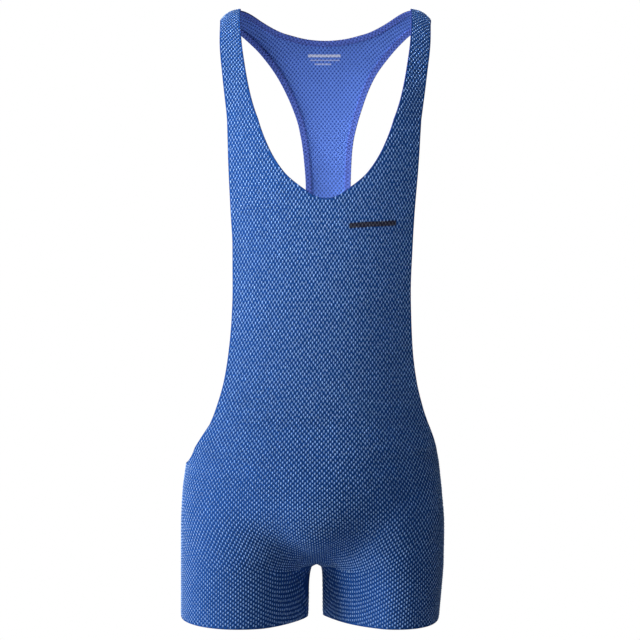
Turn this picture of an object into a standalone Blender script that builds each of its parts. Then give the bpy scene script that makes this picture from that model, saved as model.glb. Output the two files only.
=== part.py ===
"""A wrestling singlet in a raised micro-mesh knit, hollow and open, filled out as when it is worn.

Lengths are in metres and +Z is up. The front faces -Y, and left is -X. The origin is midway
between the two shoulder straps, level with their undersides, where the shoulders hold the garment.

The cloth follows one smooth figure. Up to the chest line its sections are level. Above it they
fan out round a line from shoulder to shoulder, forward of it on the chest, upright at the crests
of the straps and behind it on the back. A panel is a grid of rows between two of its edges.
"""

import math

import bpy
import numpy as np
from mathutils import Vector
from mathutils.bvhtree import BVHTree

MM = 0.001
PART_NAME = "wrestling_singlet"

# The cloth
WALL = 1.5 * MM
SEAM_GAP = 0.3 * MM
HEM_WIDTH = 7.5 * MM
HEM_WALL = 1.0 * MM
HEM_GAP = 0.3 * MM
HEM_STEP = 10 * MM
HEM_CHECKS = (0.0, 0.2, 0.4, 0.6, 0.8, 1.0)
HEM_PASSES = 5
KNIT_BLUE = (0.045, 0.135, 0.42, 1.0)
TURNED_BLUE = (0.040, 0.085, 0.33, 1.0)
KNIT_ROUGHNESS = 0.72

# Heights of the places where the edges part or meet
CREST_TOP = WALL
CHEST_LINE = -150 * MM
SCOOP_BOTTOM = -247 * MM
BACK_NECK_BOTTOM = 12.5 * MM
ARMHOLE_BOTTOM = -572 * MM
HIP_FULL = -606 * MM
CROTCH = -699 * MM
LEG_HEM = -764.5 * MM

# The arch over the shoulders: sections that fan out round the chest line
STRAP_INNER = 108 * MM
SHOULDER_SPREAD = 300 * MM
ARCH_SQUARENESS = 2.1
CURL_START = 115 * MM
CURL_RADIUS = 20 * MM
CURL_FROM_ANGLE = math.radians(42)
ARCH_LENGTH = 236 * MM

# The groin, where the trunk's rounded end and the two thighs run together
CROTCH_X = -11.5 * MM
CROTCH_ROUND = 7 * MM
CAP_SHAPE = 3
LEAN_SPREAD = 60 * MM
THIGH_TOP = -480 * MM
THIGH_FULL = -580 * MM
THIGH_SOFTNESS = 28 * MM

# Beside the cup and down to the hem, each leg's front falls back towards the inseam. The falls
# are shares of its depth at the hem.
FALL_TOP = -645 * MM
LEFT_FALL = 0.5
LEFT_FALL_SPREAD = 60 * MM
LEFT_FALL_SHAPE = 1.5
RIGHT_FALL = 0.9
RIGHT_FALL_SPREAD = 75 * MM
RIGHT_FALL_SHAPE = 2.2
FALL_START = 8 * MM
FALL_START_DROP = 18 * MM

# How finely the panels are divided
COLUMNS = 15
BUNCHING = 0.6
ROW_SAMPLES = 48
LEG_ROWS = 5
SEAT_ROWS = 14
BODY_ROWS = 15
SCOOP_ROWS = 6
FRONT_ARCH_ROWS = 8
BACK_LOW_ROWS = 16
BACK_STRIP_ROWS = 9
BACK_NECK_ROWS = 7


def table(names, *rows):
    """Named columns of millimetres, as metres, in rising order of the first column."""
    columns = np.array(sorted(rows), float).T * MM
    return dict(zip(names.split(), columns, strict=True))


# The figure's level sections. Depths are from the plane of the shoulders.
FIGURE = table(
    "height  centre  left   right  front  back",
    (-150,   0,      165,   165,   108,   104),
    (-210,   -1,     160,   160,   111,   105),
    (-300,   -4,     152,   152,   109,   94),
    (-400,   -8,     147,   147,   102,   80),
    (-460,   -11,    149,   149,   98,    80),
    (-520,   -15,    156,   155,   96,    92),
    (-567,   -16,    160,   159,   98,    105),
    (-606,   -16,    165,   163,   104,   113),
    (-650,   -16,    167,   166,   104,   112),
    (-699,   -16,    167,   165,   90,    100),
)

# The trunk's lower end inside those sections: the front cup and the seat between the thighs
TRUNK_END = table(
    "height  half_width  front  back",
    (-520,   155,        96,    92),
    (-567,   145,        102,   105),
    (-606,   114,        107,   112),
    (-633,   92,         109,   110),
    (-654,   70,         106,   106),
    (-671,   54,         95,    98),
    (-685,   42,         78,    88),
    (-699,   32,         62,    76),
)

# Each thigh, by the places of its outer side and its inner side, and its depths. A lean moves
# the middle of its front across.
THIGHS = table(
    "height  left_outer  left_inner  left_lean  right_inner  right_outer  right_lean  front  back",
    (-480,   -172,       40,         0,         -60,         140,         0,          60,    60),
    (-560,   -176,       40,         0,         -60,         143,         0,          76,    82),
    (-606,   -181,       22,         -2,        -44,         147,         3,          87,    99),
    (-650,   -183,       3,          -4,        -26,         150,         7,          91,    107),
    (-680,   -183,       -6,         -5,        -17,         150,         12,         91,    103),
    (-699,   -183,       -11.5,      -6,        -11.5,       149,         15,         90,    98),
    (-722,   -183,       -14.6,      -6,        -9.8,        147,         18,         89,    93),
    (-764.5, -183,       -16,        -6,        -9.5,        143,         18,         88,    89),
)

# The front panel's free edge at each armhole, by its distance from the origin's plane. A station
# is a height, and above the chest line the way up the arch.
FRONT_ARMHOLE = table(
    "station  left   right",
    (-572,    176,   143.5),
    (-566,    171.5, 142.5),
    (-560,    167,   141),
    (-540,    154,   134.5),
    (-521,    143,   127.5),
    (-502,    135,   120.5),
    (-465,    124,   111),
    (-428,    118,   106),
    (-392,    114.5, 104),
    (-355,    113,   103),
    (-301,    113,   105),
    (-265,    115,   107),
    (-203,    118,   112),
    (-140,    120,   116),
    (-64,     125,   122),
    (-14,     129,   127),
    (30,      131,   130),
    (86,      139,   139),
)

# The back panel's free edge at each armhole
BACK_ARMHOLE = table(
    "station  left   right",
    (-572,    176,   143),
    (-548,    147,   124),
    (-520,    112,   98),
    (-480,    80,    72),
    (-430,    54,    52),
    (-370,    36,    40),
    (-300,    27,    34),
    (-214,    26,    34),
    (-171,    29,    35.5),
    (-149,    32,    38),
    (-118,    36.5,  43),
    (-88,     44,    49.5),
    (-60,     53.5,  57),
    (-34,     65,    67),
    (0,       86,    87.5),
    (24.5,    105,   105),
    (50,      124,   124),
    (86,      139,   139),
)

# The neck's free edge, by its distance from the origin's plane
FRONT_NECK = table(
    "station  half_width",
    (-247,    0),
    (-235,    27.5),
    (-215,    50.5),
    (-186,    68.5),
    (-150,    82),
    (-115,    89.5),
    (-60,     97.5),
    (0,       104),
    (86,      108),
)
BACK_NECK = table(
    "station  half_width",
    (12.5,    0),
    (15.7,    27.5),
    (21,      44),
    (26,      56),
    (37,      72),
    (49.5,    84.5),
    (65,      95.5),
    (86,      108),
)

CREST_STATION = CHEST_LINE + ARCH_LENGTH
FRONT = -1
BACK = 1
LEFT = -1
RIGHT = 1


def along(columns, name, at):
    """A column's value at a place along the table's first column, on a smooth curve through its rows."""
    places = next(iter(columns.values()))
    values = columns[name]
    at = min(max(at, places[0]), places[-1])
    slopes = np.diff(values) / np.diff(places)
    ends = np.concatenate([[slopes[0]], slopes, [slopes[-1]]])
    before, after = ends[:-1], ends[1:]
    level = before * after <= 0
    total = np.where(level, 1.0, before + after)
    tangents = np.where(level, 0.0, 2 * before * after / total)
    i = min(int(np.searchsorted(places, at, "right")) - 1, len(places) - 2)
    width = places[i + 1] - places[i]
    t = (at - places[i]) / width
    start = (1 + 2 * t) * (1 - t) ** 2 * values[i] + t * (1 - t) ** 2 * width * tangents[i]
    end = t * t * (3 - 2 * t) * values[i + 1] + t * t * (t - 1) * width * tangents[i + 1]
    return float(start + end)


def ease(t):
    """0 to 1 with a soft start and a soft end."""
    t = min(max(t, 0.0), 1.0)
    return t * t * (3 - 2 * t)


def oval(angle, half_width, depth, squareness=2.2):
    """The distance out to an oval's edge, at an angle from the direction of its depth."""
    across = abs(math.sin(angle)) / half_width
    ahead = abs(math.cos(angle)) / depth
    return (across**squareness + ahead**squareness) ** (-1 / squareness)


def reach_of_ellipse(angle, side, x, y, half_width, half_depth):
    """How far a ray from the crotch's own axis runs before it leaves an ellipse centred at (x, y)."""
    dx, dy = side * math.sin(angle), -math.cos(angle)
    px, py = -x / half_width, -y / half_depth
    dx, dy = dx / half_width, dy / half_depth
    a = dx * dx + dy * dy
    b = px * dx + py * dy
    c = px * px + py * py - 1
    inside = b * b - a * c
    if inside <= 0:
        return 0.0
    return max(0.0, (-b + math.sqrt(inside)) / a)


def thigh(height, side):
    """A thigh's centre across, half-width, and front and back depths."""
    name = "left" if side == LEFT else "right"
    outer = along(THIGHS, name + "_outer", height)
    inner = along(THIGHS, name + "_inner", height)
    front = along(THIGHS, "front", height)
    back = along(THIGHS, "back", height)
    return (outer + inner) / 2, abs(outer - inner) / 2, front, back


def fallen(point, side):
    """A point of the front, drawn back towards the inseam beside the cup and down to the hem."""
    if point.y < 0 and point.z < FALL_TOP:
        left = side == LEFT
        fall = LEFT_FALL if left else RIGHT_FALL
        spread = LEFT_FALL_SPREAD if left else RIGHT_FALL_SPREAD
        shape = LEFT_FALL_SHAPE if left else RIGHT_FALL_SHAPE
        out = abs(point.x - axis_at(point.z))
        low = min((HIP_FULL - point.z) / (HIP_FULL - CROTCH), 1.0)
        cup = along(TRUNK_END, "half_width", point.z) * (1 - low**CAP_SHAPE) ** (1 / CAP_SHAPE)
        start = FALL_START * max(1 - max(CROTCH - point.z, 0.0) / FALL_START_DROP, 0.0)
        near = ease(out / (0.6 * cup + start + 0.5 * MM))
        grown = ease((FALL_TOP - point.z) / (FALL_TOP - LEG_HEM))
        point.y *= 1 - fall * grown * near * max(1 - out / spread, 0.0) ** shape
    return point


def leant(point, side):
    """A point of the front, moved sideways as its leg turns out."""
    if point.y < 0:
        lean = along(THIGHS, ("left" if side == LEFT else "right") + "_lean", point.z)
        ahead = min(-point.y / along(THIGHS, "front", point.z), 1.0)
        point.x += lean * ahead**2 * ease(abs(point.x - axis_at(point.z)) / LEAN_SPREAD)
    return point


def joined(a, b, softness):
    """The larger of two reaches, with the crossing between them rounded off."""
    softness = min(softness, max(a, b) / 2)
    near = max(softness - abs(a - b), 0.0)
    return max(a, b) + near * near / (4 * softness + 1e-9)


def body_reach(height, side, angle, axis):
    """The smooth union of the trunk and both thighs, seen from the axis."""
    face = "front" if angle < math.pi / 2 else "back"
    if height > TRUNK_END["height"][-1]:
        half_width = along(FIGURE, "left" if side == LEFT else "right", height)
        return oval(angle, half_width, along(FIGURE, face, height))
    low = min(max((HIP_FULL - height) / (HIP_FULL - CROTCH), 0.0), 1.0)
    reach = oval(angle, along(TRUNK_END, "half_width", height), along(TRUNK_END, face, height))
    reach *= (1 - low**CAP_SHAPE) ** (1 / CAP_SHAPE)
    grown = ease((THIGH_TOP - height) / (THIGH_TOP - THIGH_FULL))
    for leg in (LEFT, RIGHT):
        x, half, front, back = thigh(height, leg)
        depth = front if face == "front" else back
        thigh_reach = reach_of_ellipse(angle, side, x - axis, 0.0, half, depth)
        reach = joined(reach, thigh_reach * grown, THIGH_SOFTNESS)
    return reach


def axis_at(height):
    """The place across of the vertical axis that the level sections turn about."""
    centre = along(FIGURE, "centre", height)
    return centre + (CROTCH_X - centre) * ease((HIP_FULL - height) / (HIP_FULL - CROTCH))


def level_point(height, side, angle):
    """A point of a level section above the crotch. The angle runs from the front to the back."""
    axis = axis_at(height)
    reach = body_reach(height, side, angle, axis)
    widest = body_reach(height, side, math.pi / 2, axis)
    half_width = along(FIGURE, "left" if side == LEFT else "right", height)
    wanted = half_width + side * (along(FIGURE, "centre", height) - axis)
    across = reach * math.sin(angle) * wanted / widest
    return leant(fallen(Vector((axis + side * across, -reach * math.cos(angle), height)), side), side)


def leg_point(height, side, angle):
    """A point of a leg's ring. The angle runs from the inseam over the front to the inseam again."""
    x, half, front, back = thigh(height, side)
    turn = 2 * angle
    x -= side * half * math.cos(turn)
    if angle < math.pi / 4 or angle > 3 * math.pi / 4:
        drop = min((CROTCH - height) / CROTCH_ROUND, 1.0)
        rounding = CROTCH_ROUND * math.sqrt(1 - (1 - drop) ** 2)
        x += side * rounding * (1 - abs(math.sin(turn))) ** 2
    depth = front if angle < math.pi / 2 else back
    return leant(fallen(Vector((x, -depth * math.sin(turn), height)), side), side)


def arch_point(station, face, side, across):
    """A point over the shoulder, by its distance across the cloth from the middle."""
    angle = (station - CHEST_LINE) / ARCH_LENGTH * math.pi / 2
    depth = along(FIGURE, "front" if face == FRONT else "back", CHEST_LINE)
    rise = (CREST_TOP - CHEST_LINE) / (1 - (STRAP_INNER / SHOULDER_SPREAD) ** 2) ** 0.5
    ahead, up = math.cos(angle) / depth, math.sin(angle) / rise
    reach = (abs(ahead) ** ARCH_SQUARENESS + abs(up) ** ARCH_SQUARENESS) ** (-1 / ARCH_SQUARENESS)
    lift = ease(angle / (math.pi / 2))
    spread = along(FIGURE, "left" if side == LEFT else "right", CHEST_LINE)
    spread += (SHOULDER_SPREAD - spread) * lift
    squareness = 2.2 - 0.2 * lift
    curl = ease((angle - CURL_FROM_ANGLE) / (math.pi / 2 - CURL_FROM_ANGLE)) / CURL_RADIUS
    past = across - CURL_START
    drop = 0.0
    if past > 0 and curl > 0.01:
        across = CURL_START + math.sin(past * curl) / curl
        drop = (1 - math.cos(past * curl)) / curl
    out = reach * (1 - (across / spread) ** squareness) ** (1 / squareness) - drop
    return Vector((side * across, face * out * math.cos(angle), CHEST_LINE + out * math.sin(angle)))


def neck_at(edge, station):
    """The half-width of a neck edge. Its square is what runs smoothly down to the lowest point."""
    lowest = edge["station"][0]
    if station <= lowest:
        return 0.0
    squares = {"station": edge["station"], "square": edge["half_width"] ** 2}
    return math.sqrt(max(along(squares, "square", station), 0.0))


def angle_at(height, side, face, across):
    """The section angle, from the face's own middle, of a point at a distance from the origin's plane."""
    centre = along(FIGURE, "centre", height)
    half_width = along(FIGURE, "left" if side == LEFT else "right", height)
    depth = along(FIGURE, "front" if face == FRONT else "back", height)
    out = min(max((across - side * centre) / half_width, 0.0), 1.0)
    return math.atan2(out * half_width, depth * (1 - out**2.2) ** (1 / 2.2))


def sampled(points, places):
    """Points at distances along a fine line."""
    points = np.array(points)
    steps = np.linalg.norm(np.diff(points, axis=0), axis=1)
    lengths = np.concatenate([[0.0], np.cumsum(steps)])
    places = places(lengths)
    return np.stack([np.interp(places, lengths, points[:, k]) for k in range(3)], axis=1)


def spaced(first, last, whole):
    """The columns' distances from first to last, bunched up only near an end that is cut back."""
    shares = np.linspace(0, 1, COLUMNS + 1)
    before, after = first / whole, 1 - last / whole
    drawn = before * (1 - shares) ** max(BUNCHING / max(before, 0.001), 1)
    drawn -= after * shares ** max(BUNCHING / max(after, 0.001), 1)
    return (shares + drawn) * whole


def row(station, face, side):
    """One row's points, from the neck, middle or inseam to the armhole or side seam."""
    shares = np.linspace(0, 1, ROW_SAMPLES + 1)
    turned = (lambda angle: angle) if face == FRONT else (lambda angle: math.pi - angle)
    angles = math.pi / 2 * shares
    if station <= CROTCH:
        ring = [leg_point(station, side, turned(angle)) for angle in angles]
        return sampled(ring, lambda lengths: spaced(0, lengths[-1], lengths[-1]))
    neck = neck_at(FRONT_NECK if face == FRONT else BACK_NECK, station)
    name = "left" if side == LEFT else "right"
    armhole = along(FRONT_ARMHOLE if face == FRONT else BACK_ARMHOLE, name, station)
    if station > CHEST_LINE:
        strap = [arch_point(station, face, side, neck + (armhole - neck) * s) for s in shares]
        return sampled(strap, lambda lengths: spaced(0, lengths[-1], lengths[-1]))
    start = angle_at(station, side, face, neck) if neck > 0 else 0.0
    end = angle_at(station, side, face, armhole) if station > ARMHOLE_BOTTOM else math.pi / 2
    half = [level_point(station, side, turned(angle)) for angle in angles]
    folded = abs(half[0].y) * ease((HIP_FULL - station) / (HIP_FULL - CROTCH))

    def places(lengths):
        first, last = np.interp((start, end), angles, lengths)
        return spaced(first + folded, last + folded, lengths[-1] + folded) - folded

    return sampled(half, places)


def stops(start, end, count, soft_start, soft_end):
    """Places from start up to end, closer together at a soft end. The start itself is left out."""
    shares = np.arange(1, count + 1) / count
    if soft_start and soft_end:
        shares = (1 - np.cos(math.pi * shares)) / 2
    elif soft_start:
        shares = 1 - np.cos(math.pi / 2 * shares)
    elif soft_end:
        shares = np.sin(math.pi / 2 * shares)
    return [*(start + (end - start) * shares[:-1]), end]


def stations_of(face):
    """The places of a panel's rows, from the leg hem to the crest."""
    low = [LEG_HEM]
    low += stops(LEG_HEM, CROTCH, LEG_ROWS, False, True)
    low += stops(CROTCH, ARMHOLE_BOTTOM, SEAT_ROWS, True, True)
    if face == FRONT:
        low += stops(ARMHOLE_BOTTOM, SCOOP_BOTTOM, BODY_ROWS, True, True)
        low += stops(SCOOP_BOTTOM, CHEST_LINE, SCOOP_ROWS, True, False)
        return low + stops(CHEST_LINE, CREST_STATION, FRONT_ARCH_ROWS, False, False)
    low += stops(ARMHOLE_BOTTOM, CHEST_LINE, BACK_LOW_ROWS, True, False)
    low += stops(CHEST_LINE, BACK_NECK_BOTTOM, BACK_STRIP_ROWS, False, True)
    return low + stops(BACK_NECK_BOTTOM, CREST_STATION, BACK_NECK_ROWS, True, False)


class Cloth:
    """The whole outer surface, with its seams closed, and the direction outwards at each point."""

    def __init__(self):
        self.points = []
        self.found = {}
        self.faces = {FRONT: [], BACK: []}
        self.grids = {}
        self.stations = {face: stations_of(face) for face in (FRONT, BACK)}
        for face in (FRONT, BACK):
            for side in (LEFT, RIGHT):
                rows = [row(at, face, side) for at in self.stations[face]]
                self.grids[face, side] = [[self.number(p) for p in row] for row in rows]
                self.add_faces(face, side)
        self.normals = self.outwards()

    def number(self, point):
        """The point's number, the same one for points that meet."""
        key = tuple(round(float(c) / (0.01 * MM)) for c in point)
        if key not in self.found:
            self.found[key] = len(self.points)
            self.points.append(Vector(point))
        return self.found[key]

    def add_faces(self, face, side):
        """Each cell of a grid as two triangles, cut along its shorter diagonal."""
        grid = self.grids[face, side]
        for low, high in zip(grid, grid[1:]):
            for i in range(COLUMNS):
                a, b, c, d = low[i], low[i + 1], high[i + 1], high[i]
                if face * side > 0:
                    a, b, c, d = a, d, c, b
                across = (self.points[c] - self.points[a]).length
                if across < (self.points[d] - self.points[b]).length:
                    self.faces[face] += [(a, b, c), (a, c, d)]
                else:
                    self.faces[face] += [(a, b, d), (b, c, d)]

    def outwards(self):
        normals = [Vector() for _ in self.points]
        for triangle in self.faces[FRONT] + self.faces[BACK]:
            a, b, c = (self.points[i] for i in triangle)
            normal = (b - a).cross(c - a)
            for i in triangle:
                normals[i] += normal
        return [normal.normalized() for normal in normals]

    def inside(self, i):
        """The point of the wall's inner side."""
        return self.points[i] - WALL * self.normals[i]

    def seam_shifts(self, face):
        """How each point on a seam draws back into its own panel, by half the gap."""
        shifts = {}
        for side in (LEFT, RIGHT):
            grid = self.grids[face, side]
            pairs = list(zip(grid[-1], grid[-2]))
            for row, station in zip(grid, self.stations[face]):
                if station <= ARMHOLE_BOTTOM:
                    pairs.append((row[-1], row[-2]))
                if station <= CROTCH:
                    pairs.append((row[0], row[1]))
            for at, into in pairs:
                way = (self.points[into] - self.points[at]).normalized()
                shifts[at] = shifts.get(at, Vector()) + way
        return {i: way.normalized() * SEAM_GAP / 2 for i, way in shifts.items()}


def mesh_object(name, points, faces, material):
    """A smooth-shaded object in the part's collection."""
    mesh = bpy.data.meshes.new(name)
    mesh.from_pydata([tuple(p) for p in points], [], faces)
    mesh.materials.append(material)
    mesh.shade_smooth()
    mesh.set_sharp_from_angle(angle=math.radians(40))
    made = bpy.data.objects.new(name, mesh)
    bpy.data.collections[PART_NAME].objects.link(made)
    return made


def make_panel(name, cloth, face, material):
    """A panel's wall: its outer side, its inner side and the rim between them.

    Both panels share the directions of their walls at a seam, which keeps the cut ends parallel.
    """
    shifts = cloth.seam_shifts(face)
    used = sorted({i for triangle in cloth.faces[face] for i in triangle})
    place = {i: n for n, i in enumerate(used)}
    count = len(used)
    outer = [cloth.points[i] + shifts.get(i, Vector()) for i in used]
    inner = [cloth.inside(i) + shifts.get(i, Vector()) for i in used]
    outside = [tuple(place[i] for i in triangle) for triangle in cloth.faces[face]]
    inside = [(c + count, b + count, a + count) for a, b, c in outside]
    sides = {(a, b) for corners in outside for a, b in zip(corners, corners[1:] + corners[:1])}
    rims = [(b, a, a + count, b + count) for a, b in sorted(sides) if (b, a) not in sides]
    return mesh_object(name, outer + inner, outside + inside + rims, material)


def edge_line(cloth, loop):
    """Places along the inner side of a closed edge, each with the wall's direction there."""
    line = []
    for here, after in zip(loop, loop[1:] + loop[:1]):
        start, end = cloth.inside(here), cloth.inside(after)
        pieces = max(1, round((end - start).length / HEM_STEP))
        for share in np.arange(pieces) / pieces:
            normal = cloth.normals[here].lerp(cloth.normals[after], share).normalized()
            line.append((start.lerp(end, share), normal))
    return line


def clear_of(wall, near, far, depth):
    """How much deeper a hem's strip must lie for its outer side to keep its gap from the wall."""
    short = 0.0
    for across in HEM_CHECKS:
        for ahead in HEM_CHECKS:
            here = near[0].lerp(near[1], across).lerp(far[0].lerp(far[1], across), ahead)
            met, direction, _, _ = wall.find_nearest(here)
            short = max(short, depth - (met - here).dot(direction))
    return short


def make_hem(name, cloth, loop, material):
    """A turned hem: a band round a closed edge, inside the wall, clear of it by the hem gap."""
    wall_faces = cloth.faces[FRONT] + cloth.faces[BACK]
    wall_points = [cloth.inside(i) for i in range(len(cloth.points))]
    wall = BVHTree.FromPolygons(wall_points, wall_faces)
    line = edge_line(cloth, loop)
    count = len(line)
    bands = []
    for n, (edge, normal) in enumerate(line):
        ahead = line[(n + 1) % count][0] - line[n - 1][0]
        into = ahead.cross(normal).normalized()
        far, far_normal, _, _ = wall.find_nearest(edge + into * HEM_WIDTH)
        bands.append(((edge, normal), (far, normal.lerp(far_normal, 0.5).normalized())))
    depths = [HEM_GAP] * count
    for _ in range(HEM_PASSES):
        sides = [tuple(p - way * depth for p, way in band) for band, depth in zip(bands, depths)]
        shorts = [clear_of(wall, sides[n - 1], sides[n], HEM_GAP) for n in range(count)]
        depths = [depths[n] + max(shorts[n], shorts[(n + 1) % count]) for n in range(count)]
    points = []
    for band, depth in zip(bands, depths):
        for deep in (depth, depth + HEM_WALL):
            points += [p - way * deep for p, way in band]
    faces = []
    for n in range(count):
        near, far = 4 * n, 4 * ((n + 1) % count)
        for k, turn in ((0, 1), (1, 3), (3, 2), (2, 0)):
            faces.append([near + k, near + turn, far + turn, far + k])
    return mesh_object(name, points, faces, material)


def armhole_loop(cloth, side):
    """The armhole's edge, up the front, over the crest and down the back."""
    edge = []
    for face in (FRONT, BACK):
        rows = zip(cloth.grids[face, side], cloth.stations[face])
        edge.append([row[-1] for row, station in rows if station >= ARMHOLE_BOTTOM])
    loop = edge[0] + edge[1][::-1][1:-1]
    return loop if side == LEFT else loop[::-1]


def neck_loop(cloth):
    """The neck's edge: down the left strap, up the right one, and round the back neck."""
    loop = []
    for face, side, lowest in (
        (FRONT, LEFT, SCOOP_BOTTOM),
        (FRONT, RIGHT, SCOOP_BOTTOM),
        (BACK, RIGHT, BACK_NECK_BOTTOM),
        (BACK, LEFT, BACK_NECK_BOTTOM),
    ):
        rows = zip(cloth.grids[face, side], cloth.stations[face])
        edge = [row[0] for row, station in rows if station >= lowest - 0.01 * MM]
        loop += edge[:0:-1] if face * side > 0 else edge[:-1]
    return loop


def leg_loop(cloth, side):
    """A leg's lowest row, from the inseam over the front, round the side and back again."""
    front, back = cloth.grids[FRONT, side][0], cloth.grids[BACK, side][0]
    loop = front[:-1] + back[:0:-1]
    return loop if side == LEFT else loop[::-1]


def make_material(name, colour, roughness):
    material = bpy.data.materials.new(name)
    material.use_nodes = True
    shader = material.node_tree.nodes["Principled BSDF"]
    shader.inputs["Base Color"].default_value = colour
    shader.inputs["Roughness"].default_value = roughness
    shader.inputs["Metallic"].default_value = 0.0
    return material


def main():
    for leftover in list(bpy.data.objects):
        bpy.data.objects.remove(leftover, do_unlink=True)
    collection = bpy.data.collections.new(PART_NAME)
    bpy.context.scene.collection.children.link(collection)
    cloth = Cloth()
    knit = make_material("blue_knit", KNIT_BLUE, KNIT_ROUGHNESS)
    turned = make_material("turned_blue_knit", TURNED_BLUE, KNIT_ROUGHNESS)
    make_panel("front_panel", cloth, FRONT, knit)
    make_panel("back_panel", cloth, BACK, knit)
    make_hem("neck_hem", cloth, neck_loop(cloth), turned)
    for side, name in ((LEFT, "left"), (RIGHT, "right")):
        make_hem("armhole_hem_" + name, cloth, armhole_loop(cloth, side), turned)
        make_hem("leg_hem_" + name, cloth, leg_loop(cloth, side), turned)


main()
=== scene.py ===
"""A wrestling singlet in a raised micro-mesh knit, dressed on its frame, with its light and its camera.

Lengths are in metres and +Z is up. The front faces -Y, and left is -X. The cloth follows one smooth
figure: level sections up to the chest line, and above it sections that fan out over the shoulders.
Each point of the cloth also carries its place in the flat knit, which the knit's pattern follows.
"""

import math
import bpy
import numpy as np
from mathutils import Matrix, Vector
from mathutils.bvhtree import BVHTree
from mathutils.kdtree import KDTree


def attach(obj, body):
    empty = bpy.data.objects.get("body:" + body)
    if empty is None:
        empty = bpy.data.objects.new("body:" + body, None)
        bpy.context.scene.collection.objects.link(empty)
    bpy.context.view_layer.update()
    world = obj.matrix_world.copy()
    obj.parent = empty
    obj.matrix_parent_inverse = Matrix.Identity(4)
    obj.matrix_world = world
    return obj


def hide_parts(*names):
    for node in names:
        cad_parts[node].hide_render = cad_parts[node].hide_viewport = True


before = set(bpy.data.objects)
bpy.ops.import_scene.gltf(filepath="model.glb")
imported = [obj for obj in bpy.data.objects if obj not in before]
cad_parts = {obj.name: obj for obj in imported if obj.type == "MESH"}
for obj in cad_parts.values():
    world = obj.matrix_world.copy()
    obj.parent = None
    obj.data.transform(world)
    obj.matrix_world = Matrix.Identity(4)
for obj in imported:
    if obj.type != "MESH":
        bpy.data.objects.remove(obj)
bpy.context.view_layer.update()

MM = 0.001
FRONT, BACK = -1, 1
LEFT, RIGHT = -1, 1

# The cloth and its edges
CLOTH = 1.1 * MM
FOLD_BULGE = 0.4 * MM
FOLD_TURNS = (30, 90, 150)
SEAM_DRAW = 0.02 * MM
SAME_PLACE = 0.01 * MM
SHARP_ANGLE = math.radians(50)
HEM_WIDTH = 7.5 * MM
HEM_CLOTH = 0.8 * MM
HEM_GAP = 0.1 * MM
HEM_STEP = 2.0 * MM
HEM_BULGE = 0.3 * MM
HEM_BULGE_SHARE = 0.05
HEM_ACROSS = (0.0, 0.2, 0.5, 0.8, 1.0)
HEM_SMOOTHINGS = 3

# Heights of the places where the edges part or meet
CREST_TOP = 1.5 * MM
CHEST_LINE = -150 * MM
SCOOP_BOTTOM = -247 * MM
BACK_NECK_BOTTOM = 12.5 * MM
ARMHOLE_BOTTOM = -572 * MM
HIP_FULL = -606 * MM
CROTCH = -699 * MM
LEG_HEM = -764.5 * MM

# How square the sections are: 2 is an ellipse
SQUARENESS = 2.2
CREST_LESS_SQUARE = 0.2

# The arch over the shoulders
STRAP_INNER = 108 * MM
SHOULDER_SPREAD = 300 * MM
ARCH_SQUARENESS = 2.1
CURL_START = 115 * MM
CURL_RADIUS = 20 * MM
CURL_FROM_ANGLE = math.radians(42)
ARCH_LENGTH = 236 * MM
CREST_STATION = CHEST_LINE + ARCH_LENGTH

# The groin
CROTCH_X = -11.5 * MM
CROTCH_ROUND = 7 * MM
CAP_SHAPE = 3
LEAN_SPREAD = 60 * MM
THIGH_TOP = -480 * MM
THIGH_FULL = -580 * MM
THIGH_SOFTNESS = 28 * MM

# How far the front of each leg falls back towards the inseam
FALL_TOP = -645 * MM
FALLS = {
    LEFT: {"most": 0.5, "spread": 60 * MM, "shape": 1.5},
    RIGHT: {"most": 0.9, "spread": 75 * MM, "shape": 2.2},
}
FALL_CUP_SHARE = 0.6
FALL_START = 8 * MM
FALL_START_DROP = 18 * MM
FALL_START_LEAST = 0.5 * MM

# How finely the cloth is divided
COLUMNS = 52
BUNCHING = 0.6
ROW_SAMPLES = 120
LEG_ROWS = 18
SEAT_ROWS = 44
BODY_ROWS = 76
SCOOP_ROWS = 30
FRONT_ARCH_ROWS = 62
BACK_LOW_ROWS = 96
BACK_STRIP_ROWS = 42
BACK_NECK_ROWS = 34


def table(names, *rows):
    """Named columns of millimetres, as metres, in rising order of the first column."""
    columns = np.array(sorted(rows), float).T * MM
    return dict(zip(names.split(), columns, strict=True))


FIGURE = table(
    "height  centre  left   right  front  back",
    (-150,   0,      165,   165,   108,   104),
    (-210,   -1,     160,   160,   111,   105),
    (-300,   -4,     152,   152,   109,   94),
    (-400,   -8,     147,   147,   102,   80),
    (-460,   -11,    149,   149,   98,    80),
    (-520,   -15,    156,   155,   96,    92),
    (-567,   -16,    160,   159,   98,    105),
    (-606,   -16,    165,   163,   104,   113),
    (-650,   -16,    167,   166,   104,   112),
    (-699,   -16,    167,   165,   90,    100),
)
TRUNK_END = table(
    "height  half_width  front  back",
    (-520,   155,        96,    92),
    (-567,   145,        102,   105),
    (-606,   114,        107,   112),
    (-633,   92,         109,   110),
    (-654,   70,         106,   106),
    (-671,   54,         95,    98),
    (-685,   42,         78,    88),
    (-699,   32,         62,    76),
)
THIGHS = table(
    "height  left_outer  left_inner  left_lean  right_inner  right_outer  right_lean  front  back",
    (-480,   -172,       40,         0,         -60,         140,         0,          60,    60),
    (-560,   -176,       40,         0,         -60,         143,         0,          76,    82),
    (-606,   -181,       22,         -2,        -44,         147,         3,          87,    99),
    (-650,   -183,       3,          -4,        -26,         150,         7,          91,    107),
    (-680,   -183,       -6,         -5,        -17,         150,         12,         91,    103),
    (-699,   -183,       -11.5,      -6,        -11.5,       149,         15,         90,    98),
    (-722,   -183,       -14.6,      -6,        -9.8,        147,         18,         89,    93),
    (-764.5, -183,       -16,        -6,        -9.5,        143,         18,         88,    89),
)
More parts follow.
